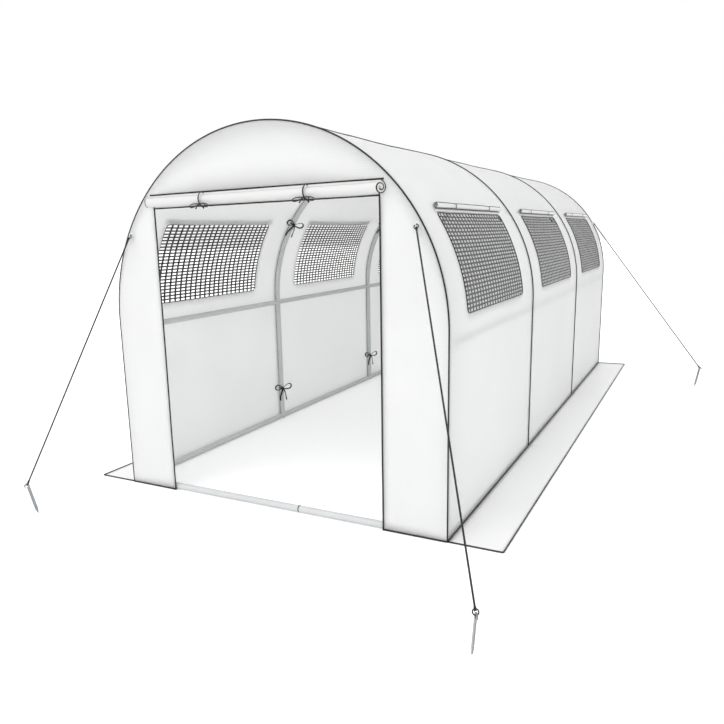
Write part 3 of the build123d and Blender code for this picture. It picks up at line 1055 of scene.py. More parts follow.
class POLYTUNNEL_OT_end_walls(bpy.types.Operator):
    """Makes the front wall round its doorway, the closed back wall, and their piping."""

    bl_idname = "polytunnel.end_walls"
    bl_label = "End walls"
    HOLLOW, WAVES = 0.0016, 0.0022  # how far the film sits inwards, evenly and in waves
    ROW_SHARE = 0.035  # a row of the film's grid, as a share of the height
    COLUMN_STEP, CORD_STEP = 0.045, 0.06
    COLUMNS_BESIDE, COLUMNS_ACROSS = 16, 60  # left or right of the doorway, and of the back wall

    def ripple(self, x, z, towards):
        """How far a wall sits inwards: a small hollow between the arch and the hem, easing to nothing at
        the arch's tube and at the ground, with crossed waves on it."""
        from_arch = HALF - np.hypot(x, np.maximum(0, z - SPRING))
        free = ease((from_arch - 0.04) / 0.18) * ease(z / 0.25)
        return towards * free * (self.HOLLOW + self.WAVES * unevenness(x * 1.8, z * 1.8))

    def wall(self, columns, bottom, shares, face_y, towards):
        """A wall's panel as a grid: x by column, and height from the bottom, a share of the way up to the
        round top in each row."""
        x, share = np.meshgrid(columns, shares)
        top = wall_top(x)
        z = bottom + share * (top - bottom)
        y = face_y + self.ripple(x, z, towards)
        return np.stack([x, y, z], -1), np.stack([x, z], -1)

    def execute(self, context):
        film, trim = context.scene.polytunnel_film, context.scene.polytunnel_trim
        heavy = kept("Woven polyethylene film, heavy", film_finish, film.wall_colour, film.wall_glow)
        cord = piping_cord(trim)
        reach = HALF - 0.0008  # a hair inside the cover
        whole = 2 * HALF * SPRING + math.pi / 2 * HALF**2
        self.front_wall(heavy, cord, reach, whole, film.thickness, trim.piping / 2)
        self.back_wall(heavy, cord, reach, whole, film.thickness, trim.piping / 2)
        return {"FINISHED"}

    def front_wall(self, finish, cord, reach, whole, thickness, radius):
        """Three panels: left of the doorway, over it and right of it. The columns beside it stand at
        equal turns of the round top, from the cover to the doorway, and one row goes over it."""
        turns = np.linspace(math.pi / 2, math.asin(DOOR_HALF / reach), self.COLUMNS_BESIDE)
        beside = reach * np.sin(turns)
        door_share = DOOR_TOP / float(wall_top(np.array(DOOR_HALF)))
        shares = np.append(cuts([0, door_share], self.ROW_SHARE), 1.0)
        over = cuts([-DOOR_HALF, DOOR_HALF], self.COLUMN_STEP)
        face_y = FRONT + FILM_INSET
        patches = [
            self.wall(-beside, 0.0, shares, face_y, 1),
            self.wall(over, DOOR_TOP, [0.0, 1.0], face_y, 1),
            self.wall(beside[::-1], 0.0, shares, face_y, 1),
        ]
        front = make_piece("front_wall", patches, finish, thickness=thickness)
        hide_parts("front_wall_left", "front_wall_right", "front_wall_header")
        lines = []
        for sign in (-1, 1):
            lines.append([(sign * DOOR_HALF, 0.0), (sign * DOOR_HALF, ROLL_CENTRE[2])])
            lines.append([(sign * HALF, radius), (sign * DOOR_HALF, radius)])
        for height, half in ((DOOR_TOP, DOOR_HALF), (DOOR_SEAM_Z, ROLL_LENGTH / 2)):
            lines.append([(-half, height), (half, height)])
        out = np.array([0.0, -1.0, 0.0])
        cords = [self.on_wall(spaced(line, self.CORD_STEP), FRONT, out, radius) for line in lines]
        edges = make_piece("front_wall_piping", cords, cord)

    def back_wall(self, finish, cord, reach, whole, thickness, radius):
        """One plain panel, its columns at equal turns of the round top, with piping along its hem."""
        across = reach * np.sin(np.linspace(math.pi / 2, -math.pi / 2, self.COLUMNS_ACROSS))
        patch = self.wall(across, 0.0, cuts([0, 1], self.ROW_SHARE), BACK - FILM_INSET, -1)
        back = make_piece("back_wall_film", [patch], finish, thickness=thickness)
        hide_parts("back_wall")
        line = spaced([(-HALF, radius), (HALF, radius)], self.CORD_STEP)
        hem = self.on_wall(line, BACK, np.array([0.0, 1.0, 0.0]), radius)
        edges = make_piece("back_wall_piping", [hem], cord)

    def on_wall(self, line, face_y, out, radius):
        """Piping along a line of x and z on a wall."""
        x, z = line[:, 0], line[:, 1]
        y = face_y - out[1] * self.ripple(x, z, 1)
        return piping(np.stack([x, y, z], -1), np.broadcast_to(out, (len(x), 3)), radius)


class POLYTUNNEL_OT_skirts(bpy.types.Operator):
    """Makes the two skirts that lie on the ground along the sides, with their piped hems."""

    bl_idname = "polytunnel.skirts"
    bl_label = "Ground skirts"
    CLEARANCE, WAVES = 0.0018, 0.0035  # height over the ground, and of the waves on it
    QUIET_END = 0.3  # length in which the waves die out
    OUT_STEP, ALONG_STEP, CORD_STEP = 0.03, 0.05, 0.05
    CORNER = 0.008
    CORD_INSET, CORD_RISE = 0.6, 0.68  # of the hem's piping, over its radius

    def height(self, y, out):
        """Height of a skirt over the ground: a clearance for the film's own thickness, plus low waves
        across it that grow towards its outer edge and die out at its ends."""
        share = out / (SKIRT_EDGE - HALF)
        ends = ease((y - FRONT) / self.QUIET_END) * ease((BACK - y) / self.QUIET_END)
        return self.CLEARANCE + self.WAVES * share * ends * (0.5 + 0.5 * unevenness(y * 1.6, out * 3))

    def execute(self, context):
        film, trim = context.scene.polytunnel_film, context.scene.polytunnel_trim
        finish = kept("Woven polyethylene film, laid", film_finish, film.colour, film.laid_glow)
        cord = piping_cord(trim)
        width = SKIRT_EDGE - HALF
        out, y = np.meshgrid(cuts([0, width], self.OUT_STEP), cuts([FRONT, BACK], self.ALONG_STEP))
        sheet = [(np.stack([HALF + out, y, self.height(y, out)], -1), np.stack([y, out], -1))]
        edge = [self.hem(width, trim.piping / 2)]
        for side, signs in SIDES.items():
            skirt = make_piece(
                f"skirt_{side}",
                mirrored(sheet, signs),
                finish,
                thickness=film.thickness,
            )
            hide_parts(f"ground_skirt_{side}")
            hem = make_piece(f"skirt_piping_{side}", mirrored(edge, signs), cord)
        return {"FINISHED"}

    def hem(self, width, radius):
        """Piping along a skirt's front, outer and back edges, a little in from them, its corners bent. It
        lies on the skirt, and clear of the ground."""
        inset = radius * self.CORD_INSET
        front, back, outer = FRONT + inset, BACK - inset, width - inset
        rim = [(0, front), (outer, front), (outer, back), (0, back)]
        out, y = spaced(bend_corners(rim, self.CORNER), self.CORD_STEP).T
        rise = np.maximum(self.height(y, out), radius * self.CORD_RISE)
        path = np.stack([HALF + out, y, rise], -1)
        return piping(path, np.broadcast_to([0.0, 0.0, 1.0], path.shape), radius)


# ---------------------------------------------------------------- windows


class POLYTUNNEL_OT_netting(bpy.types.Operator):
    """Makes the woven netting of the six side windows and the piping round them."""

    bl_idname = "polytunnel.netting"
    bl_label = "Window netting"
    CORD_SHARE = 0.38  # radius of a window's piping, over the diameter of the other piping
    CORNER, CORD_STEP = 0.03, 0.03

    def execute(self, context):
        net, trim = context.scene.polytunnel_net, context.scene.polytunnel_trim
        depth = context.scene.polytunnel_film.slack
        yarn = kept("Woven net tape", woven_finish, net.colour, 0.002, 0.55, 0.2)
        cord = piping_cord(trim)
        threads, borders = [], []
        for middle in BAY_MIDDLES:
            threads += self.threads(middle, net, depth)
            borders.append(self.border(middle, trim.piping * self.CORD_SHARE, depth))
        for side, signs in SIDES.items():
            piece = make_piece(f"netting_{side}", mirrored(threads, signs), yarn)
            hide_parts(f"window_nets_{side}")
            make_piece(f"window_piping_{side}", mirrored(borders, signs), cord)
        return {"FINISHED"}

    def threads(self, middle, net, depth):
        """Plain weave of flat tapes: each tape is a flat profile along the cover that waves out and in by
        about half its thickness, as the cosine of the cells passed, and each neighbour waves the other
        way. The whole net lies one thickness inside the cover."""
        low, high, thick = WINDOW_LOW_S, WINDOW_HIGH_S, net.thickness
        wave = 0.55 * thick
        level = slab_section(net.level_tape, thick, 2, 2)
        upright = slab_section(net.upright_tape, thick, 2, 2)
        made = []
        for row in range(1, net.rows):
            s = low + (high - low) * row / net.rows
            cell = np.arange(net.columns * 2 + 1) / 2
            y = middle - WINDOW_HALF + 2 * WINDOW_HALF * cell / net.columns
            lift = wave * np.cos(math.pi * (cell + row)) - thick
            made.append(sweep(cover_point(y, s, lift, depth), cover_normal(s), level))
        for column in range(1, net.columns):
            y = middle - WINDOW_HALF + 2 * WINDOW_HALF * column / net.columns
            cell = np.arange(net.rows * 2 + 1) / 2
            s = low + (high - low) * cell / net.rows
            lift = -wave * np.cos(math.pi * (cell + column)) - thick
            made.append(sweep(cover_point(y, s, lift, depth), cover_normal(s), upright))
        return made

    def border(self, middle, radius, depth):
        """A closed cord round a window, its corners bent."""
        low, high = WINDOW_LOW_S, WINDOW_HIGH_S
        start, end = middle - WINDOW_HALF, middle + WINDOW_HALF
        rim = np.array([(start, low), (end, low), (end, high), (start, high)])
        path = bend_corners(rim, self.CORNER, closed=True)
        y, s = spaced(np.concatenate([path, path[:1]]), self.CORD_STEP)[:-1].T
        return piping(cover_point(y, s, 0, depth), cover_normal(s), radius, closed=True)


def spiral(outer_r, inner_r, thickness, pitch, start, steps=26):
    """A flat spiral round the origin: the distance from the middle grows by a pitch in each turn, up to
    the outer radius less half the sheet. Returns its points and their outward directions."""
    first, last = inner_r, outer_r - thickness / 2
    turns = (last - first) / pitch
    angle = np.linspace(0, turns * 2 * math.pi, round(turns * steps) + 1)
    r = first + pitch * angle / (2 * math.pi)
    turn = start - (angle[-1] - angle)
    out = np.stack([np.cos(turn), np.sin(turn)], -1)
    return r[:, None] * out, out


class POLYTUNNEL_OT_window_flaps(bpy.types.Operator):
    """Makes the rolled-up flap over each side window, with the strip it hangs from and its two straps."""

    bl_idname = "polytunnel.window_flaps"
    bl_label = "Window flaps"
    LAYER, PITCH = 0.0036, 0.0050  # thickness of a wound layer, and from one layer to the next
    CORE_R, FREE_EDGE = 0.0030, math.radians(205)  # the innermost turn, and where the outermost ends
    HEM_R, EDGE_R, EDGE_DEPTH = 0.0020, 0.0012, 0.0010  # cords on the roll and round its two ends
    STATIONS, HEM_STEP = 36, 0.03
    PINCH, PINCH_REACH, WAVER = 0.07, 0.05, 0.03  # share and length of a strap's pinch, and the waves

    def execute(self, context):
        film, trim = context.scene.polytunnel_film, context.scene.polytunnel_trim
        finish, ribbon, cord = rolled_film(film), tie_ribbon(trim), piping_cord(trim)
        line, out = spiral(FLAP_R, self.CORE_R, self.LAYER, self.PITCH, self.FREE_EDGE)
        path, up = np.insert(line, 1, 0.0, axis=1), np.insert(out, 1, 0.0, axis=1)
        places = (-FLAP_LENGTH / 2 + FLAP_STRAP_INSET, FLAP_LENGTH / 2 - FLAP_STRAP_INSET)
        straps, bound = [], []
        for number, middle in enumerate(BAY_MIDDLES):
            points, uv = sweep(path, up, slab_section(FLAP_LENGTH, self.LAYER, self.STATIONS))
            points[..., [0, 2]] *= self.swell(points[..., 1], places, number)[..., None]
            points += (FLAP_CENTRE[0], middle, FLAP_CENTRE[2])
            roll = [(points, uv), self.strip(middle, film.thickness)]
            for side, signs in SIDES.items():
                piece = make_piece(
                    f"window_flap_{side}_{number + 1}", mirrored(roll, signs), finish
                )
                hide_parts(f"window_flaps_{side}")
            straps += [self.strap(middle + place) for place in places]
            bound += self.hems(middle, places, number)
            for end in (-1, 1):
                rim = path + up * (self.LAYER / 2 - self.EDGE_DEPTH)
                rim = rim + (FLAP_CENTRE[0], middle + end * FLAP_LENGTH / 2, FLAP_CENTRE[2])
                bound.append(sweep(rim, (0.0, 1.0, 0.0), circle_section(self.EDGE_R, 6)))
        for side, signs in SIDES.items():
            make_piece(f"flap_straps_{side}", mirrored(straps, signs), ribbon)
            make_piece(f"flap_binding_{side}", mirrored(bound, signs), cord)
        return {"FINISHED"}

    def swell(self, y, places, number):
        """A roll's radius along it, over its own: a little less at the straps, as a bell curve, and
        wavering between them."""
        pinch = sum(np.exp(-(((y - place) / self.PINCH_REACH) ** 2)) for place in places)
        waver = self.WAVER * unevenness(y * 9 + number, y * 4)
        return 1 - self.PINCH * pinch + waver * (1 - pinch)

    def hems(self, middle, places, number):
        """A cord along the roll at each turn where a hem lies, as far out as the roll is there."""
        y = spaced([(-FLAP_LENGTH / 2, 0.0), (FLAP_LENGTH / 2, 0.0)], self.HEM_STEP)[:, 0]
        reach = FLAP_R * self.swell(y, places, number)
        made = []
        for turn in FLAP_HEM_TURNS:
            hem = np.stack([reach * math.cos(turn), y, reach * math.sin(turn)], -1)
            hem += (FLAP_CENTRE[0], middle, FLAP_CENTRE[2])
            made.append(sweep(hem, (math.cos(turn), 0.0, math.sin(turn)), circle_section(self.HEM_R, 6)))
        return made

    def strip(self, middle, thickness):
        """The flap's top edge, flat on the cover from behind the roll to a little above it."""
        s = np.linspace(WINDOW_HIGH_S + 0.004, WINDOW_HIGH_S + 0.040, 5)
        lift = 0.0012  # clear of the cover
        path = cover_point(np.full(len(s), middle), s, lift)
        return sweep(path, cover_normal(s), slab_section(FLAP_LENGTH - 0.01, thickness, self.STATIONS))

    def strap(self, y):
        """A ribbon round the roll: a circle a hair outside it, flat along the roll."""
        turn = np.linspace(0, 2 * math.pi, 28)[:-1]
        out = np.stack([np.cos(turn), np.zeros_like(turn), np.sin(turn)], -1)
        path = (FLAP_CENTRE[0], y, FLAP_CENTRE[2]) + (FLAP_R + 0.0004) * out
        return sweep(path, out, slab_section(FLAP_STRAP_WIDTH, RIBBON, 3), closed=True)


# ---------------------------------------------------------------- door roll and ribbon ties


class POLYTUNNEL_OT_door_roll(bpy.types.Operator):
    """Makes the rolled-up door over the doorway, its bound edges and the strip it hangs from."""

    bl_idname = "polytunnel.door_roll"
    bl_label = "Door roll"
    LAYER, PITCH = 0.0124, 0.0142  # thickness of a wound layer, and from one layer to the next
    CORE_R, FREE_EDGE, STEPS = 0.0040, math.radians(75), 36  # innermost turn, outer end, points to a turn
    BEVEL, STATIONS = 0.0015, 48
    CORD_R, CORD_DEPTH, CORD_OUT = 0.0024, 0.0010, 0.0004  # cord round the layers' ends
    GIRTH, STAND_OUT = 0.99, 0.008  # radius over the model's, and how far the core stands out
    PINCH, PINCH_REACH, WAVER = 0.05, 0.06, 0.02  # share and length of a tie's pinch, and the waves

    def execute(self, context):
        film, trim = context.scene.polytunnel_film, context.scene.polytunnel_trim
        finish, cord = rolled_film(film), piping_cord(trim)
        line, out = spiral(ROLL_R, self.CORE_R, self.LAYER, self.PITCH, self.FREE_EDGE, self.STEPS)
        path, up = np.insert(line, 0, 0.0, axis=1), np.insert(out, 0, 0.0, axis=1)
        points, uv = sweep(path, up, plank_section(ROLL_LENGTH, self.LAYER, self.BEVEL, self.STATIONS))
        self.shape(points)
        piece = make_piece(
            "door_flap_rolled", [(points, uv), self.strip(film.thickness)], finish
        )
        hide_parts("door_roll")
        rims = []
        for sign in (-1, 1):
            rim = path + up * (self.LAYER / 2 - self.CORD_DEPTH)
            rim[:, 0] = sign * (ROLL_LENGTH / 2 + self.CORD_OUT)
            rim, flat = sweep(rim, (1.0, 0.0, 0.0), circle_section(self.CORD_R, CORD_SIDES))
            self.shape(rim)
            rims.append((rim, flat))
        bound = make_piece("door_flap_binding", rims, cord)
        return {"FINISHED"}

    def strip(self, thickness):
        """The sheet's top edge, flat on the wall from behind the roll up to its seam."""
        z = np.linspace(ROLL_CENTRE[2] - ROLL_R, DOOR_SEAM_Z, 6)
        path = np.stack([np.zeros_like(z), np.full_like(z, FRONT - 0.0012), z], -1)
        return sweep(path, (0.0, -1.0, 0.0), slab_section(ROLL_LENGTH - 0.01, thickness, self.STATIONS))

    def shape(self, points):
        """Moves points of a straight roll to the door's: its ends slant, shorter in front than behind, and
        its inner turns stand out there; the radius is a little less at the two ties, as a bell curve, and
        wavers between them; then it goes up to its place over the doorway."""
        share = np.hypot(points[..., 1], points[..., 2]) / ROLL_R
        slant = points[..., 1] * ROLL_SLANT
        longer = slant + self.STAND_OUT / 2 - self.STAND_OUT * share
        points[..., 0] *= 1 + longer / (ROLL_LENGTH / 2)
        x = points[..., 0]
        ties = (-DOOR_TIE_X, DOOR_TIE_X)
        pinch = sum(np.exp(-(((x - place) / self.PINCH_REACH) ** 2)) for place in ties)
        waver = self.WAVER * unevenness(x * 6, x * 3)
        points[..., 1:] *= (self.GIRTH - self.PINCH * pinch + waver * (1 - pinch))[..., None]
        points += (0, ROLL_CENTRE[1], ROLL_CENTRE[2])


def bow(knot, level, down, out, reach, plump, tail, width, tilt, spread=math.radians(16)):
    """A ribbon bow: two loops, two tails and a knot, from the knot's place and its level, down and outward
    directions. A loop is a drop: its distance from the knot is a cosine's, and its height is a sine that
    narrows towards the knot. A tail runs down and outwards with a slight wave, and turns a little on
    itself."""
    knot, level, down, out = (np.asarray(v, float) for v in (knot, level, down, out))
    patches = []
    stand = 0.004  # how far the ribbon stays in front of the knot's place
    lean = math.radians(52)  # from square to the loop to flat in front of it
    turn = np.linspace(0, 2 * math.pi, 34)[1:-1, None]
    t = np.linspace(0, 1, 12)[:, None]
    for sign in (-1, 1):
        side = sign * level * math.cos(tilt) - down * math.sin(tilt)
        rise = -down * math.cos(tilt) - sign * level * math.sin(tilt)
        away = reach * (1 - np.cos(turn)) / 2
        high = plump * reach * np.sin(turn) * (0.30 + 0.70 * away / reach)
        loop = knot + away * side + high * rise + (stand + 0.006 * np.sin(turn / 2)) * out
        across = np.cross(unit(np.gradient(loop, axis=0)), out)
        up = math.cos(lean) * across + math.sin(lean) * out
        patches.append(sweep(loop, up, slab_section(width * 0.85, RIBBON, 3)))
        run = down * math.cos(spread) + sign * level * math.sin(spread)
        wave = level * sign * 0.07 * tail * np.sin(math.pi * t)
        hang = knot + tail * t * run + wave + out * (stand + 0.003 * np.sin(2 * math.pi * t))
        twist = 0.5 * sign * np.sin(math.pi * t)
        up = out * np.cos(twist) + level * np.sin(twist)
        patches.append(sweep(hang, up, slab_section(width, RIBBON, 3)))
    lump = np.stack([level * width * 0.62, down * width * 0.68, out * 0.0062])
    patches.append(ellipsoid(knot + out * 0.0045, lump))
    return patches


def band(centre, axis, radius, width):
    """A ribbon once round a bar: a circle square to the axis, flat along it."""
    axis = unit(np.asarray(axis, float))
    first = unit(np.cross(axis, (0.0, 1.0, 0.0) if abs(axis[1]) < 0.9 else (1.0, 0.0, 0.0)))
    second = np.cross(axis, first)
    turn = np.linspace(0, 2 * math.pi, 33)[:-1, None]
    out = np.cos(turn) * first + np.sin(turn) * second
    return sweep(np.asarray(centre) + radius * out, out, slab_section(width, RIBBON, 3), closed=True)


class POLYTUNNEL_OT_ribbon_ties(bpy.types.Operator):
    """Makes the ribbon ties on the middle arches and round the rolled door, each tied in a bow."""

    bl_idname = "polytunnel.ribbon_ties"
    bl_label = "Ribbon ties"
    TIED_ARCHES = (2, 3)
    ARCH_BOW = {"reach": 0.076, "plump": 0.36, "tail": 0.104, "width": 0.013, "tilt": math.radians(12)}
    DOOR_BOW = {"reach": 0.062, "plump": 0.17, "tail": 0.036, "width": 0.008, "tilt": math.radians(-10)}
    DOOR_SPREAD = math.radians(50)

    def execute(self, context):
        ribbon = tie_ribbon(context.scene.polytunnel_trim)
        for number in self.TIED_ARCHES:
            y = float(SEAMS[number - 1])
            patches = []
            for height in ARCH_TIE_HEIGHTS:
                patches += self.arch_tie(y, height)
            patches += mirrored(patches, SIDES["left"])
            piece = make_piece(f"ribbon_ties_{number}", patches, ribbon)
            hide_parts(f"arch_ties_{number}")
        patches = []
        for x in (-DOOR_TIE_X, DOOR_TIE_X):
            patches += self.door_tie(x)
        piece = make_piece("door_ribbon_ties", patches, ribbon)
        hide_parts("door_ties")
        return {"FINISHED"}

    def arch_tie(self, y, height):
        """A tie on the left side of an arch, its bow on the inside and turned towards the doorway."""
        angle = math.asin(max(0.0, height - SPRING) / ARCH_R)
        spot = np.array([-ARCH_R * math.cos(angle), y, height])
        inward = np.array([math.cos(angle), 0.0, -math.sin(angle)])
        down = np.array([-math.sin(angle), 0.0, -math.cos(angle)])
        lengthways = np.array([0.0, 1.0, 0.0])
        out = inward * math.cos(TIE_TURN) - lengthways * math.sin(TIE_TURN)
        level = inward * math.sin(TIE_TURN) + lengthways * math.cos(TIE_TURN)
        gap, width = 0.0008, 0.012  # tube to the ribbon's middle, and the ribbon's width
        ring = band(spot, down, TUBE_R + gap, width)
        knot = spot + out * (TUBE_R + 2 * gap)
        return [ring] + bow(knot, level, down, out, **self.ARCH_BOW)

    def door_tie(self, x):
        """A tie round the rolled door, its bow hanging in front of the roll's lower side."""
        centre = np.array([x, ROLL_CENTRE[1], ROLL_CENTRE[2]])
        gap, width = 0.0006, 0.008  # roll to the ribbon's middle, and the ribbon's width
        ring = band(centre, (1, 0, 0), ROLL_R + gap, width)
        lean = math.radians(50)  # from level to the knot's place on the roll
        knot = centre + np.array([0.0, -math.cos(lean), -math.sin(lean)]) * (ROLL_R + 2 * gap)
        down, front = (0.0, 0.0, -1.0), (0.0, -1.0, 0.0)
        return [ring] + bow(knot, (1, 0, 0), down, front, spread=self.DOOR_SPREAD, **self.DOOR_BOW)


# ---------------------------------------------------------------- guy ropes


def strands(path, first, second, diameter, lay, turns=None, closed=False):
    """Three strands laid into a rope: each goes round the path's line at about a quarter of the rope's
    diameter, once in each lay length, a third of a turn from the next. first and second are the two
    directions square to the path."""
    path = np.asarray(path, float)
    step = np.linalg.norm(np.diff(path, axis=0, append=path[:1] if closed else path[-1:]), axis=1)
    along = np.concatenate([[0], np.cumsum(step)[:-1]])
    whole = step.sum()
    turns = turns or whole / lay
    from_middle, section = 0.268 * diameter, circle_section(0.235 * diameter, 6)
    made = []
    for number in range(3):
        turn = (2 * math.pi * (turns * along / whole + number / 3))[:, None]
        out = np.cos(turn) * first + np.sin(turn) * second
        made.append(sweep(path + from_middle * out, out, section, closed))
    return made


class POLYTUNNEL_OT_guy_ropes(bpy.types.Operator):
    """Makes the four laid guy ropes, each with a knotted loop through its lug and over its peg's hook."""

    bl_idname = "polytunnel.guy_ropes"
    bl_label = "Guy ropes"
    RUN, LOOP = 1.5, 0.96  # thickness of the straight run and of the loops, over the rope's diameter
    LOOP_TURNS, POINTS_TO_A_LAY = 4, 8
    WHIPPING_TURNS, WHIPPING_LENGTH = 4, 0.016
    CLEARANCE = 0.0003

    def execute(self, context):
        rope = context.scene.polytunnel_rope
        yarn = kept("Laid polypropylene rope", woven_finish, rope.colour, 0.0015, 0.5, 0.25)
        for corner, (x, y, out, ahead) in CORNERS.items():
            patches = self.corner_rope(out, ahead, rope.diameter, rope.lay)
            piece = make_piece(f"rope_{corner}", mirrored(patches, np.array([x, y, 1])), yarn)
            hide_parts(f"guy_rope_{corner}")
        return {"FINISHED"}

    def ends(self, out, ahead):
        """The lug's hole, the way the lug stands out, the middle of the peg's hook, and the level
        direction from lug to peg, at the front right corner. The lug is on the end wall where the peg is
        beyond that wall, and on the cover's side where it falls short."""
        uphill = np.array([math.cos(LUG_ANGLE), 0.0, math.sin(LUG_ANGLE)])
        foot = np.array([0.0, FRONT, SPRING]) + uphill * (HALF - LUG_EDGE)
        outward = np.array([0.0, -1.0, 0.0])
        if ahead < 0:
            foot = np.array([0.0, FRONT + LUG_EDGE, SPRING]) + uphill * (HALF + self.CLEARANCE)
            outward = uphill
        hole = foot + outward * LUG_REACH
        tip = np.array([HALF + out, FRONT - ahead, 0.0])
        level = unit((tip - hole) * (1, 1, 0))
        upright = np.array([0.0, 0.0, 1.0])
        shank = level * math.sin(PEG_LEAN) + upright * math.cos(PEG_LEAN)
        beyond = level * math.cos(PEG_LEAN) - upright * math.sin(PEG_LEAN)
        hook = tip + shank * (PEG_LENGTH - HOOK_INNER_R - HOOK_BAR)
        hook = hook + beyond * (HOOK_INNER_R + HOOK_BAR - PEG_WIDTH / 2)
        return hole, outward, hook, level

    def corner_rope(self, out, ahead, diameter, lay):
        """A straight run of laid rope between two knots, and a loop of it at each end."""
        hole, outward, hook, level = self.ends(out, ahead)
        along = unit(hook - hole)
        seat = math.sqrt((EYE_R - diameter / 2) ** 2 - (PEG_THICKNESS / 2) ** 2) - self.CLEARANCE
        top_side = unit(np.cross(along, outward))
        low_side = unit(np.cross(along, level))
        loops = ((hole + along * EYE_R, top_side), (hook - along * (HOOK_INNER_R + seat), low_side))
        knots = (loops[0][0] + along * EYE_R, loops[1][0] - along * EYE_R)
        length = np.linalg.norm(knots[1] - knots[0])
        first, second = top_side, np.cross(along, top_side)
        t = np.linspace(0, 1, round(length / lay * self.POINTS_TO_A_LAY))[:, None]
        run = knots[0] + t * (knots[1] - knots[0])
        patches = strands(run, first, second, diameter * self.RUN, lay)
        turn = np.linspace(0, 2 * math.pi, 41)[:-1, None]
        for centre, side in loops:
            out = np.cos(turn) * along + np.sin(turn) * side
            flat = np.broadcast_to(np.cross(along, side), out.shape)
            ring = centre + EYE_R * out
            patches += strands(ring, out, flat, diameter * self.LOOP, lay, self.LOOP_TURNS, closed=True)
        for place in knots:
            patches.append(self.whipping(place, along, first, second, diameter))
        return patches

    def whipping(self, place, along, first, second, diameter):
        """Close turns of line round a knot: a helix about the rope, at a rope's radius from it."""
        whole = self.WHIPPING_TURNS * 2 * math.pi
        turn = np.linspace(0, whole, 57)[:, None]
        out = np.cos(turn) * first + np.sin(turn) * second
        rise = along * (turn / whole - 0.5) * self.WHIPPING_LENGTH
        return sweep(place + out * diameter * 0.66 + rise, out, circle_section(diameter * 0.30, 6))


# ---------------------------------------------------------------- steel and plastic of the model


class POLYTUNNEL_OT_hardware(bpy.types.Operator):
    """Gives the model's own tubes, pegs and lugs their finishes."""

    bl_idname = "polytunnel.hardware"
    bl_label = "Tubes, pegs and lugs"
    TUBES = ("arch_", "base_rail", "purlin", "ridge", "front_sill", "back_sill")

    def execute(self, context):
        colours, trim = context.scene.polytunnel_hardware, context.scene.polytunnel_trim
        steel = kept("Powder coated steel tube", coated_steel_finish, colours.tube_colour)
        zinc = kept("Zinc plated steel", zinc_finish, colours.zinc_colour)
        plastic = kept("Moulded polypropylene", moulded_finish, colours.lug_colour, 0.5, 500.0, 0.0003)
        rubber = kept("Rubber ring", moulded_finish, trim.colour, 0.6, 400.0, 0.0002)
        make_piece("sill_joint_ring", [self.joint_ring()], rubber)
        for name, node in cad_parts.items():
            if name.startswith(("arch_ties", "door_ties")):
                continue
            if name.startswith(self.TUBES):
                finish = steel
            elif name.startswith("peg_"):
                finish = zinc
            elif name == "guy_lugs":
                finish = plastic
            else:
                continue
            for place in node.material_slots:
                place.material = finish
        return {"FINISHED"}

    def joint_ring(self):
        """A band over the joint of the front sill's two halves: an arc round the tube, open where the tube
        lies on the ground."""
        low, high = node_box("front_sill_left")
        centre = (float(high[0]), float(low[1] + high[1]) / 2, TUBE_R)
        turn = np.linspace(math.radians(-50), math.radians(230), 37)[:, None]
        out = np.cos(turn) * (0.0, 1.0, 0.0) + np.sin(turn) * (0.0, 0.0, 1.0)
        return sweep(centre + (TUBE_R + 0.0006) * out, out, slab_section(0.005, RIBBON, 3))


# ---------------------------------------------------------------- stage


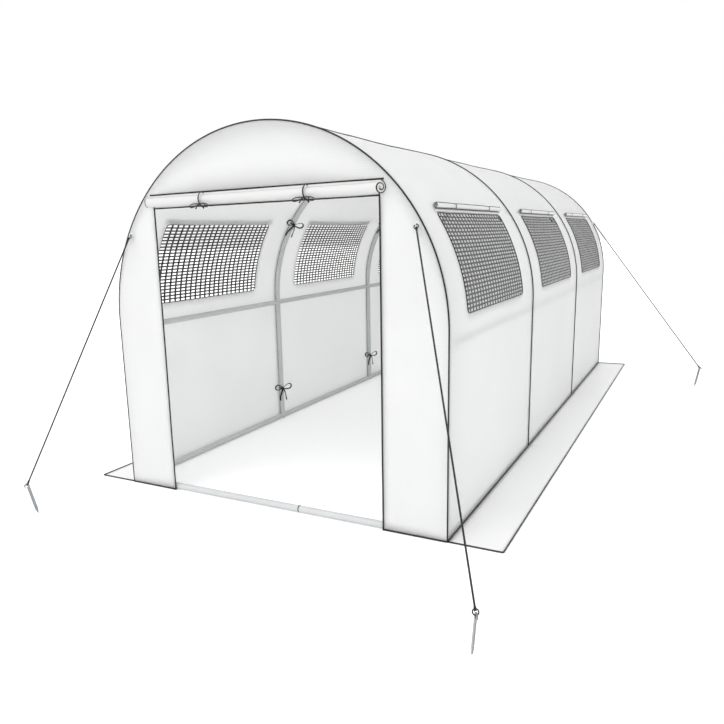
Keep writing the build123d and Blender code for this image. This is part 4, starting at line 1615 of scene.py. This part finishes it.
class POLYTUNNEL_OT_stage(bpy.types.Operator):
    """Makes the floor, the lights, the white surroundings and the camera."""

    bl_idname = "polytunnel.stage"
    bl_label = "Stage"
    FLOOR_HALF, FLOOR_Z = 90.0, -0.001
    KEY_FROM, KEY_ANGLE = (-0.35, -0.75, 1.0), math.radians(35)
    CAMERA_AT, CAMERA_TO = (1.9941, -4.9890, 1.4389), (-0.4122, -0.7292, 0.4077)
    CAMERA_ROLL, CAMERA_SHIFT = math.radians(-1.7209), (0.055, 0.0271)

    def execute(self, context):
        stage = context.scene.polytunnel_stage
        finish = kept("Matt floor", floor_finish, stage.floor_colour, stage.floor_lift)
        half, z = self.FLOOR_HALF, self.FLOOR_Z
        mesh = bpy.data.meshes.new("floor")
        mesh.from_pydata(
            [(-half, -half, z), (half, -half, z), (half, half, z), (-half, half, z)], [], [(0, 1, 2, 3)]
        )
        mesh.materials.append(finish)
        floor = bpy.data.objects.new("floor", mesh)
        context.scene.collection.objects.link(floor)
        self.surroundings(context, stage.ambient)
        lamp = bpy.data.lights.new("key", "SUN")
        lamp.energy, lamp.angle = stage.sun, self.KEY_ANGLE
        key = bpy.data.objects.new("key", lamp)
        context.scene.collection.objects.link(key)
        key.rotation_euler = Vector(self.KEY_FROM).to_track_quat("Z", "Y").to_euler()
        self.camera(context, stage.lens)
        context.scene.view_settings.view_transform = "Standard"
        return {"FINISHED"}

    def surroundings(self, context, ambient):
        """White where it is seen, in a mirror or through a clear surface too, and a plain even light
        elsewhere."""
        world = bpy.data.worlds.new("Studio")
        context.scene.world = world
        world.use_nodes = True
        tree = world.node_tree
        tree.nodes.clear()
        strength = add_node(
            tree,
            "ShaderNodeMapRange",
            None,
            {"To Min": ambient, "To Max": 1.0},
            {"Value": seen_ray(tree)},
        )
        sky = add_node(
            tree,
            "ShaderNodeBackground",
            None,
            {"Color": WHITE},
            {"Strength": strength.outputs["Result"]},
        )
        add_node(tree, "ShaderNodeOutputWorld", None, None, {"Surface": sky.outputs["Background"]})

    def camera(self, context, lens):
        """A camera to the front right of the doorway, at head height, that looks across the tunnel."""
        data = bpy.data.cameras.new("camera")
        data.lens, data.sensor_width = lens, 36.0
        data.shift_x, data.shift_y = self.CAMERA_SHIFT
        data.clip_end = 300.0
        camera = bpy.data.objects.new("camera", data)
        context.scene.collection.objects.link(camera)
        place, target = Vector(self.CAMERA_AT), Vector(self.CAMERA_TO)
        roll = Quaternion((0.0, 0.0, 1.0), self.CAMERA_ROLL)
        camera.location = place
        camera.rotation_mode = "QUATERNION"
        camera.rotation_quaternion = (target - place).to_track_quat("-Z", "Y") @ roll
        context.scene.camera = camera


# ---------------------------------------------------------------- panel and registration


class POLYTUNNEL_PT_panel(bpy.types.Panel):
    """Lists the steps and settings of the polytunnel."""

    bl_idname = "POLYTUNNEL_PT_panel"
    bl_label = "Polytunnel"
    bl_space_type = "VIEW_3D"
    bl_region_type = "UI"
    bl_category = "Polytunnel"

    def draw(self, context):
        """A box of settings for each group, then a button for each step."""
        layout = self.layout
        for name, group in GROUPS.items():
            box = layout.box()
            for field in group.__annotations__:
                box.prop(getattr(context.scene, name), field)
        for step in STEPS:
            layout.operator(step.bl_idname)


GROUPS = {
    "polytunnel_film": PolytunnelFilmSettings,
    "polytunnel_trim": PolytunnelTrimSettings,
    "polytunnel_net": PolytunnelNetSettings,
    "polytunnel_rope": PolytunnelRopeSettings,
    "polytunnel_hardware": PolytunnelHardwareSettings,
    "polytunnel_stage": PolytunnelStageSettings,
}
STEPS = (
    POLYTUNNEL_OT_cover,
    POLYTUNNEL_OT_end_walls,
    POLYTUNNEL_OT_skirts,
    POLYTUNNEL_OT_netting,
    POLYTUNNEL_OT_window_flaps,
    POLYTUNNEL_OT_door_roll,
    POLYTUNNEL_OT_ribbon_ties,
    POLYTUNNEL_OT_guy_ropes,
    POLYTUNNEL_OT_hardware,
    POLYTUNNEL_OT_stage,
)


def register():
    """Registers the settings, the steps and the panel."""
    for group in GROUPS.values():
        bpy.utils.register_class(group)
    for step in STEPS:
        bpy.utils.register_class(step)
    bpy.utils.register_class(POLYTUNNEL_PT_panel)
    for name, group in GROUPS.items():
        setattr(bpy.types.Scene, name, PointerProperty(type=group))


def unregister():
    """Takes away what register added, in the opposite order."""
    for name in GROUPS:
        delattr(bpy.types.Scene, name)
    bpy.utils.unregister_class(POLYTUNNEL_PT_panel)
    for step in reversed(STEPS):
        bpy.utils.unregister_class(step)
    for group in reversed(list(GROUPS.values())):
        bpy.utils.unregister_class(group)


def main():
    """Registers the add-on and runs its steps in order."""
    register()
    bpy.ops.polytunnel.cover()
    bpy.ops.polytunnel.end_walls()
    bpy.ops.polytunnel.skirts()
    bpy.ops.polytunnel.netting()
    bpy.ops.polytunnel.window_flaps()
    bpy.ops.polytunnel.door_roll()
    bpy.ops.polytunnel.ribbon_ties()
    bpy.ops.polytunnel.guy_ropes()
    bpy.ops.polytunnel.hardware()
    bpy.ops.polytunnel.stage()


if __name__ == "__main__":
    main()
